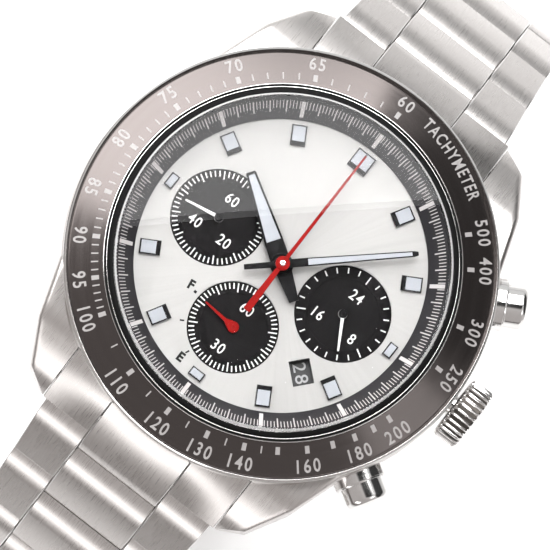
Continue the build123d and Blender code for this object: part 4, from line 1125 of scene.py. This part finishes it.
def make_case():
    """Round barrel with seats for the end links, and four lugs with pockets for the pusher collars."""
    barrel = rounded([(CASE_BORE, CASE_FLOOR), (19.0, CASE_FLOOR), (CASE_R, 2.6), (CASE_R, 7.9),
                      (20.3, CASE_TOP), (BEZEL_BORE, CASE_TOP), (BEZEL_BORE, 2.5), (CASE_BORE, 2.5)], 0.12)
    ring = loose("case_barrel", lathe(barrel))
    cutters = bmesh.new()
    edge, beyond = sqrt(SEAT_R**2 - LUG_GAP**2), 30
    for sy in (-1, 1):
        front = sorted(p for p in circle(SEAT_R, 90) if sy * p[1] > 0 and abs(p[0]) < LUG_GAP)
        prism(cutters, [(-LUG_GAP, sy * beyond), (-LUG_GAP, sy * edge), *front, (LUG_GAP, sy * edge),
                        (LUG_GAP, sy * beyond)], -1, CASE_TOP + 1)
    pocket_holes = [(angle, PUSHER_Z, COLLAR_R, COLLAR_START) for angle in PUSHER_ANGLES.values()]
    side_holes(cutters, [(90, STEM_Z, STEM_HOLE_R, 15), *pocket_holes])
    body = carved(ring, loose("case_cutters", cutters))
    edge_break(piece("case_middle", body, "case_flank", "case", ["case_body"], sharp=25),
               0.08, "polished_steel")
    lugs, pockets = bmesh.new(), bmesh.new()
    for sx in (-1, 1):
        for sy in (-1, 1):
            loft(lugs, lug_sections(sx, sy))
    side_holes(pockets, pocket_holes)
    lugs = carved(loose("lug_blanks", lugs), loose("lug_pockets", pockets))
    edge_break(piece("case_lugs", lugs, "case", "case", sharp=38), 0.16, "polished_steel", 3)


def make_case_back():
    """Screwed back: turned rings, a polished rim and six key slots."""
    rings, ring_pitch = [], 0.25
    r = 15.2
    while r > 14.2:
        rings += [(r, 0.0), (r - 0.1, 0.05), (r - 0.2, 0.0)]
        r -= ring_pitch
    profile = [(0, 0), *reversed(rings), (16.2, 0), (CASE_BACK_R, 0.5), (CASE_BACK_R, CASE_FLOOR),
               (CASE_BORE, CASE_FLOOR), (CASE_BORE, 2.2), (15.2, 2.2), (15.2, 1.0), (0, 1.0)]
    disc = loose("back_disc", lathe(profile))
    slot = rounded([(-1.2, 16.4), (1.2, 16.4), (1.2, 18), (-1.2, 18)], 0.3)
    cutters = bmesh.new()
    for k in range(6):
        prism(cutters, slot, -1, 0.5, Matrix.Rotation(radians(90 - 60 * k), 4, "Z"))
    edge_break(piece("case_back_screwed", carved(disc, loose("slot_cutters", cutters)), "case_back", "case",
                     ["case_back"], sharp=25), 0.06, "polished_steel")


def end_link_loop(x, outer):
    """Side section of the end link at x, as (y, z), starting on the case's seat."""
    seat = sqrt((SEAT_R + 0.1) ** 2 - x * x)
    y0, z0 = HINGE
    c, s = cos(radians(END_HEADING)), sin(radians(END_HEADING))

    def at(a, b):
        return (y0 + a * c + b * s, z0 - a * s + b * c)

    top_z = 7.9 - 0.986 * max(0.0, seat - 19)         # follows the lugs' slope
    if outer:
        end = arc((23.14, 3.79), at(-HOLLOW_R, 0), at(-1.0, -1.55), 10)
        low = [(21.2, 0.72)]
    else:
        end = arc(at(1.1, LINK_HALF_T), at(KNUCKLE_R, 0), at(1.1, -LINK_HALF_T), 10)
        low = []
    middle = [(seat + (end[0][0] - seat) * t, top_z + (end[0][1] - top_z) * t + 0.55 * sin(pi * t))
              for t in (0.15, 0.3, 0.45, 0.6, 0.75, 0.9)]
    return [(seat, 1.3), (seat, top_z), *middle, *end, *low]


def make_end_link(side, half):
    """Three rows between the lugs, like a link's."""
    rows = bmesh.new()
    inner, outside, steps = CENTRE_HALF_W + ROW_GAP, LUG_GAP - 0.1, 8
    for x0, x1, outer in ((-outside, -inner, True), (-CENTRE_HALF_W, CENTRE_HALF_W, False),
                          (inner, outside, True)):
        stations = [x0 + (x1 - x0) * k / steps for k in range(steps + 1)]
        loft(rows, [[(x, side * y, z) for y, z in end_link_loop(x, outer)] for x in stations])
    edge_break(piece(f"end_link_{half}_rows", rows, "bracelet", "case", [f"end_link_{half}"],
                     sharp=40), 0.12, "polished_steel")


# ---------------------------------------------------------------- clasp
def clasp_point(angle, depth):
    """Point (y, z) of the closed clasp: degrees round its arc and millimetres outside it."""
    y, z = hinge_points()[-1]
    slope = radians(180 - LINK_HEADINGS[-1])
    radius = y / sin(slope)
    r = radius + depth
    return (r * sin(radians(angle)), z + radius * cos(slope) - r * cos(radians(angle)))


def clasp_loft(bm, start, end, loop, steps=24):
    """Add a bar bent along the clasp's arc; loop is its section as (x, depth)."""
    sections = []
    for k in range(steps + 1):
        angle = start + (end - start) * k / steps
        sections.append([(x, *clasp_point(angle, depth)) for x, depth in loop])
    loft(bm, sections)


def strip_loop(x0, x1, depths, radius=0.12):
    """Rounded section of a bar between two places across and two depths."""
    low, high = depths
    return rounded([(x0, low), (x1, low), (x1, high), (x0, high)], radius)


def clasp_barrel(bm, pivot, radius, x0, x1):
    """Add a hinge barrel along x at one of the clasp's pivots."""
    y, z = clasp_point(*pivot)
    loft(bm, [[(x, y + a, z + b) for a, b in circle(radius, 48)] for x in (x0, x1)])


def span(side, near, far):
    """A stretch across on one side of the middle, from its lower x to its higher x."""
    return sorted((side * near, side * far))


def make_inner_blade():
    bm = bmesh.new()
    clasp_loft(bm, -14.6, 13.9, strip_loop(-BLADE_HALF_W, BLADE_HALF_W, INNER_DEPTHS))
    for side in (-1, 1):
        arm = span(side, 4.75, BLADE_HALF_W)
        clasp_loft(bm, -END_ANGLE, -14.2, strip_loop(*arm, INNER_DEPTHS), 4)
        clasp_barrel(bm, (-END_ANGLE, 0), 0.95, *arm)
        clasp_barrel(bm, FOLD, BARREL_R, *span(side, FORK_HALF_W, BLADE_HALF_W))
    clasp_barrel(bm, FOLD, 0.35, -7.55, 7.55)
    edge_break(piece("clasp_inner_blade_bent", bm, "bracelet", "inner_blade",
                     ["clasp_inner_blade"], weld=False), 0.05, "polished_steel")


def make_middle_blade():
    bm = bmesh.new()
    for start, end in ((-13.2, -8.0), (8.0, 12.6)):
        clasp_loft(bm, start, end, strip_loop(-BLADE_HALF_W, BLADE_HALF_W, MIDDLE_DEPTHS), 8)
    for side in (-1, 1):
        clasp_loft(bm, -8.05, 8.05, strip_loop(*span(side, 2.0, BLADE_HALF_W), MIDDLE_DEPTHS), 16)
    for start, end, depths in ((COVER[0], -13.0, (0.72, 1.22)), (12.4, FOLD[0], (0.62, 1.02))):
        clasp_loft(bm, start, end, strip_loop(-TONGUE_HALF_W, TONGUE_HALF_W, depths), 4)
    for pivot in (FOLD, COVER):
        clasp_barrel(bm, pivot, BARREL_R, -TONGUE_HALF_W, TONGUE_HALF_W)
    edge_break(piece("clasp_middle_blade_bent", bm, "bracelet", "middle_blade",
                     ["clasp_middle_blade"], weld=False), 0.05, "polished_steel")


def make_cover():
    """Channel over the blades, cut out for the buttons and for the middle blade's end."""
    wide, inside, rim, under, top = 9.3, 8.5, -0.5, 1.55, 2.5
    section = [(-wide, rim), (-wide, top), (wide, top), (wide, rim), (inside, rim), (inside, under),
               (-inside, under), (-inside, rim)]
    shell, cutter = bmesh.new(), bmesh.new()
    clasp_loft(shell, COVER[0], 15.0, rounded(section, 0.3, 4), 40)
    for start, end, half, low, high in ((-2.6, 2.6, 12, -0.1, 1.3), (-16.0, -13.6, FORK_HALF_W, 0.5, 2.0)):
        clasp_loft(cutter, start, end, [(-half, low), (-half, high), (half, high), (half, low)], 6)
    cover = carved(loose("cover_shell", shell), loose("cover_cutter", cutter))
    for side in (-1, 1):
        clasp_barrel(cover, COVER, BARREL_R, *span(side, FORK_HALF_W, 8.6))
    edge_break(piece("clasp_cover_shell", cover, "bracelet", "clasp_cover", ["clasp_cover"],
                     sharp=35, weld=False), 0.07, "polished_steel")


def make_clasp():
    """Inner and middle blades, the cover over them and its two release buttons."""
    make_inner_blade()
    make_middle_blade()
    make_cover()
    for name, side in (("right", 1), ("left", -1)):
        button = bmesh.new()
        clasp_loft(button, -2.5, 2.5, strip_loop(*span(side, 8.25, 9.9), (0.0, 1.2), 0.2), 8)
        edge_break(piece(f"clasp_button_{name}_cap", button, "polished_steel", f"button_{name}",
                         [f"clasp_button_{name}"]), 0.12)


# ---------------------------------------------------------------- CAD nodes that stay
def dress_cad_nodes():
    """Give every CAD node that still shows the finish of its slot in the record."""
    slots = {entry["node"]: entry["material_slot"] for entry in frame["record"]["subparts"]}
    for node, obj in frame["nodes"].items():
        slot = slots.get(node, "brushed_steel")
        obj.data.materials.clear()
        obj.data.materials.append(MATERIALS[RECORD_FINISH[slot]])


# ---------------------------------------------------------------- studio
LEAN = radians(7.5)            # the camera leans from the dial's normal towards 6 o'clock
ROLL = radians(37.9)           # 12 o'clock stands this far clockwise from the image's top
CAMERA_DISTANCE = 0.70         # metres
LENS = 488.0
DIAL_MIRROR = Vector((0, sin(LEAN), cos(LEAN)))     # where the dial reflects the lens
ROOM_LIGHT = (0.50, 0.85)      # brightness of the room towards 6 o'clock and towards 12 o'clock
FLOOR_NEAR = (0.96, 0.96, 0.96)
# Painted shade: the floor's colour turns dark far from the watch, standing in for a dim room.
FLOOR_PAINTED_SHADE_FAR = (0.10, 0.088, 0.083)
FLOOR_PAINTED_SHADE_BACK = (0.50, 0.50, 0.50)
FLOOR_AXIS = (0.35, 0.94, 0)   # along the floor, roughly towards 12 o'clock
FLOOR_STOPS = ((-0.22, FLOOR_PAINTED_SHADE_FAR), (-0.045, FLOOR_NEAR), (0.06, FLOOR_NEAR), (0.13, FLOOR_PAINTED_SHADE_BACK))     # metres
# Painted light: the floor glows a little in its own colour, though it is no lamp.
FLOOR_PAINTED_GLOW = 0.30
SOFTBOXES = (
    # name, degrees right and up of the lens, size and distance in metres, radiance, lights matt faces
    ("top_softbox", -4, 39.4, (0.92, 0.58), 0.60, 2.75, True),
    ("top_sheen", -4, 39.4, (0.92, 0.58), 0.61, 4.8, False),
    ("low_softbox", -39.5, -50.5, (0.42, 0.17), 0.60, 2.3, True),
    ("right_softbox", 37, -28, (0.21, 0.21), 0.60, 1.6, True),
)


def make_floor():
    """Pale floor with painted shade and painted light: its colour darkens far from the watch, which gives the
    bracelet its dark reflections, and it glows a little in that colour.
    """
    size = 3.0
    mesh = bpy.data.meshes.new("floor")
    level = min(CAD_LOW.z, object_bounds()[0].z)
    corners = [(-size, -size, level), (size, -size, level), (size, size, level), (-size, size, level)]
    mesh.from_pydata(corners, [], [(0, 1, 2, 3)])
    shader = Shader("floor_painted_shade_and_glow", FLOOR_NEAR, roughness=0.7, Specular_IOR_Level=0.2,
                    Emission_Strength=FLOOR_PAINTED_GLOW)
    place = shader.node("ShaderNodeTexCoord").outputs["Object"]
    towards = shader.node("ShaderNodeVectorMath", operation="DOT_PRODUCT")
    towards.inputs[1].default_value = FLOOR_AXIS
    shader.links.new(place, towards.inputs[0])
    start, end = FLOOR_STOPS[0][0], FLOOR_STOPS[-1][0]
    reach = shader.spread(towards.outputs["Value"], 0, 1, start, end)
    ramp = shader.node("ShaderNodeValToRGB")
    for index, (distance, shade) in enumerate(FLOOR_STOPS):
        at = (distance - start) / (end - start)
        stop = ramp.color_ramp.elements[index] if index < 2 else ramp.color_ramp.elements.new(at)
        stop.position = at
        stop.color = (*shade, 1)
    shader.links.new(reach, ramp.inputs["Fac"])
    # The ramp's painted shade colours both the floor and its painted glow.
    for socket in ("Base Color", "Emission Color"):
        shader.links.new(ramp.outputs["Color"], shader.main.inputs[socket])
    paper = shader.noise(shader.place((0.5, 0.5, 0.5)), 4.0, 0.6)
    shader.bump(paper, 0.02, 0.02)
    mesh.materials.append(shader.material)
    floor = bpy.data.objects.new("floor", mesh)
    scene.collection.objects.link(floor)


def make_world(right, up):
    """Studio surroundings: a grey room, dark round the lens and dark on one side."""
    world = bpy.data.worlds.new("studio")
    scene.world = world
    world.use_nodes = True
    nodes, links = world.node_tree.nodes, world.node_tree.links
    direction = nodes.new("ShaderNodeTexCoord").outputs["Generated"]

    def along(axis, start, end, low, high):
        """A value that goes smoothly from low to high as the direction turns towards an axis."""
        dot = nodes.new("ShaderNodeVectorMath")
        dot.operation = "DOT_PRODUCT"
        dot.inputs[1].default_value = axis
        links.new(direction, dot.inputs[0])
        ramp = nodes.new("ShaderNodeMapRange")
        ramp.interpolation_type = "SMOOTHSTEP"
        for socket, value in (("From Min", start), ("From Max", end), ("To Min", low), ("To Max", high)):
            ramp.inputs[socket].default_value = value
        links.new(dot.outputs["Value"], ramp.inputs["Value"])
        return ramp.outputs["Result"]

    def product(first, second):
        times = nodes.new("ShaderNodeMath")
        times.operation = "MULTIPLY"
        links.new(first, times.inputs[0])
        links.new(second, times.inputs[1])
        return times.outputs[0]

    to_twelve = Vector((0, 1, 0))
    room = along(to_twelve, -0.7, 0.7, *ROOM_LIGHT)
    lens = along(DIAL_MIRROR, 0.91, 0.975, 1.0, 0.05)
    flag = along(right + 0.16 * up, 0.70, 0.78, 1.0, 0.06)
    mix = nodes.new("ShaderNodeMix")
    mix.data_type = "RGBA"
    mix.inputs["A"].default_value = (1.0, 0.94, 0.92, 1)
    mix.inputs["B"].default_value = (1.0, 1.0, 1.0, 1)
    links.new(along(to_twelve, -0.7, 0.7, 0.0, 1.0), mix.inputs["Factor"])
    links.new(mix.outputs["Result"], nodes["Background"].inputs["Color"])
    links.new(product(product(room, lens), flag), nodes["Background"].inputs["Strength"])


def make_camera():
    """Camera at its place; returns the image's right, its up and the way back to the lens."""
    back = Vector((0, -sin(LEAN), cos(LEAN)))
    across = Vector((1, 0, 0))
    along = Vector((0, cos(LEAN), sin(LEAN)))
    right = cos(ROLL) * across + sin(ROLL) * along
    up = -sin(ROLL) * across + cos(ROLL) * along
    target = Vector((0, 0, 0.0105)) - 0.00072 * right - 0.00109 * up
    data = bpy.data.cameras.new("camera")
    data.sensor_width = 36
    data.lens = LENS
    data.clip_end = 10
    camera = bpy.data.objects.new("camera", data)
    place = [t + b * CAMERA_DISTANCE for t, b in zip(target, back)]
    camera.matrix_world = axes_matrix(right, up, back, place)
    scene.collection.objects.link(camera)
    scene.camera = camera
    return right, up, back


def make_softboxes(right, up, back):
    """Area lights, each seen from the dial at two angles from the lens."""
    centre = Vector((0, 0, 0.01))
    for name, right_deg, up_deg, size, distance, radiance, diffuse in SOFTBOXES:
        turn, tilt = atan2(right_deg, up_deg), radians(hypot(right_deg, up_deg))
        sideways = sin(turn) * right + cos(turn) * up
        ahead = sin(tilt) * sideways + cos(tilt) * back
        upright = (cos(tilt) * sideways - sin(tilt) * back).normalized()
        lamp = bpy.data.lights.new(name, "AREA")
        lamp.shape = "RECTANGLE"
        lamp.size, lamp.size_y = size
        lamp.energy = radiance * pi * size[0] * size[1]
        holder = bpy.data.objects.new(name, lamp)
        holder.matrix_world = axes_matrix(upright.cross(ahead), upright, ahead, centre + distance * ahead)
        holder.visible_camera = False
        holder.visible_diffuse = diffuse
        scene.collection.objects.link(holder)


dress_cad_nodes()
make_case()
make_case_back()
make_end_link(1, "12")
make_end_link(-1, "6")
make_clasp()
make_bezel()
make_tachymeter_print()
make_crystal()
make_chapter_ring()
make_dial()
make_subdial_print()
make_gauge_print()
make_markers()
make_date_disc()
make_hands()
make_crown()
make_pushers()
make_bracelet()
make_floor()
image_right, image_up, image_back = make_camera()
make_world(image_right, image_up)
make_softboxes(image_right, image_up, image_back)
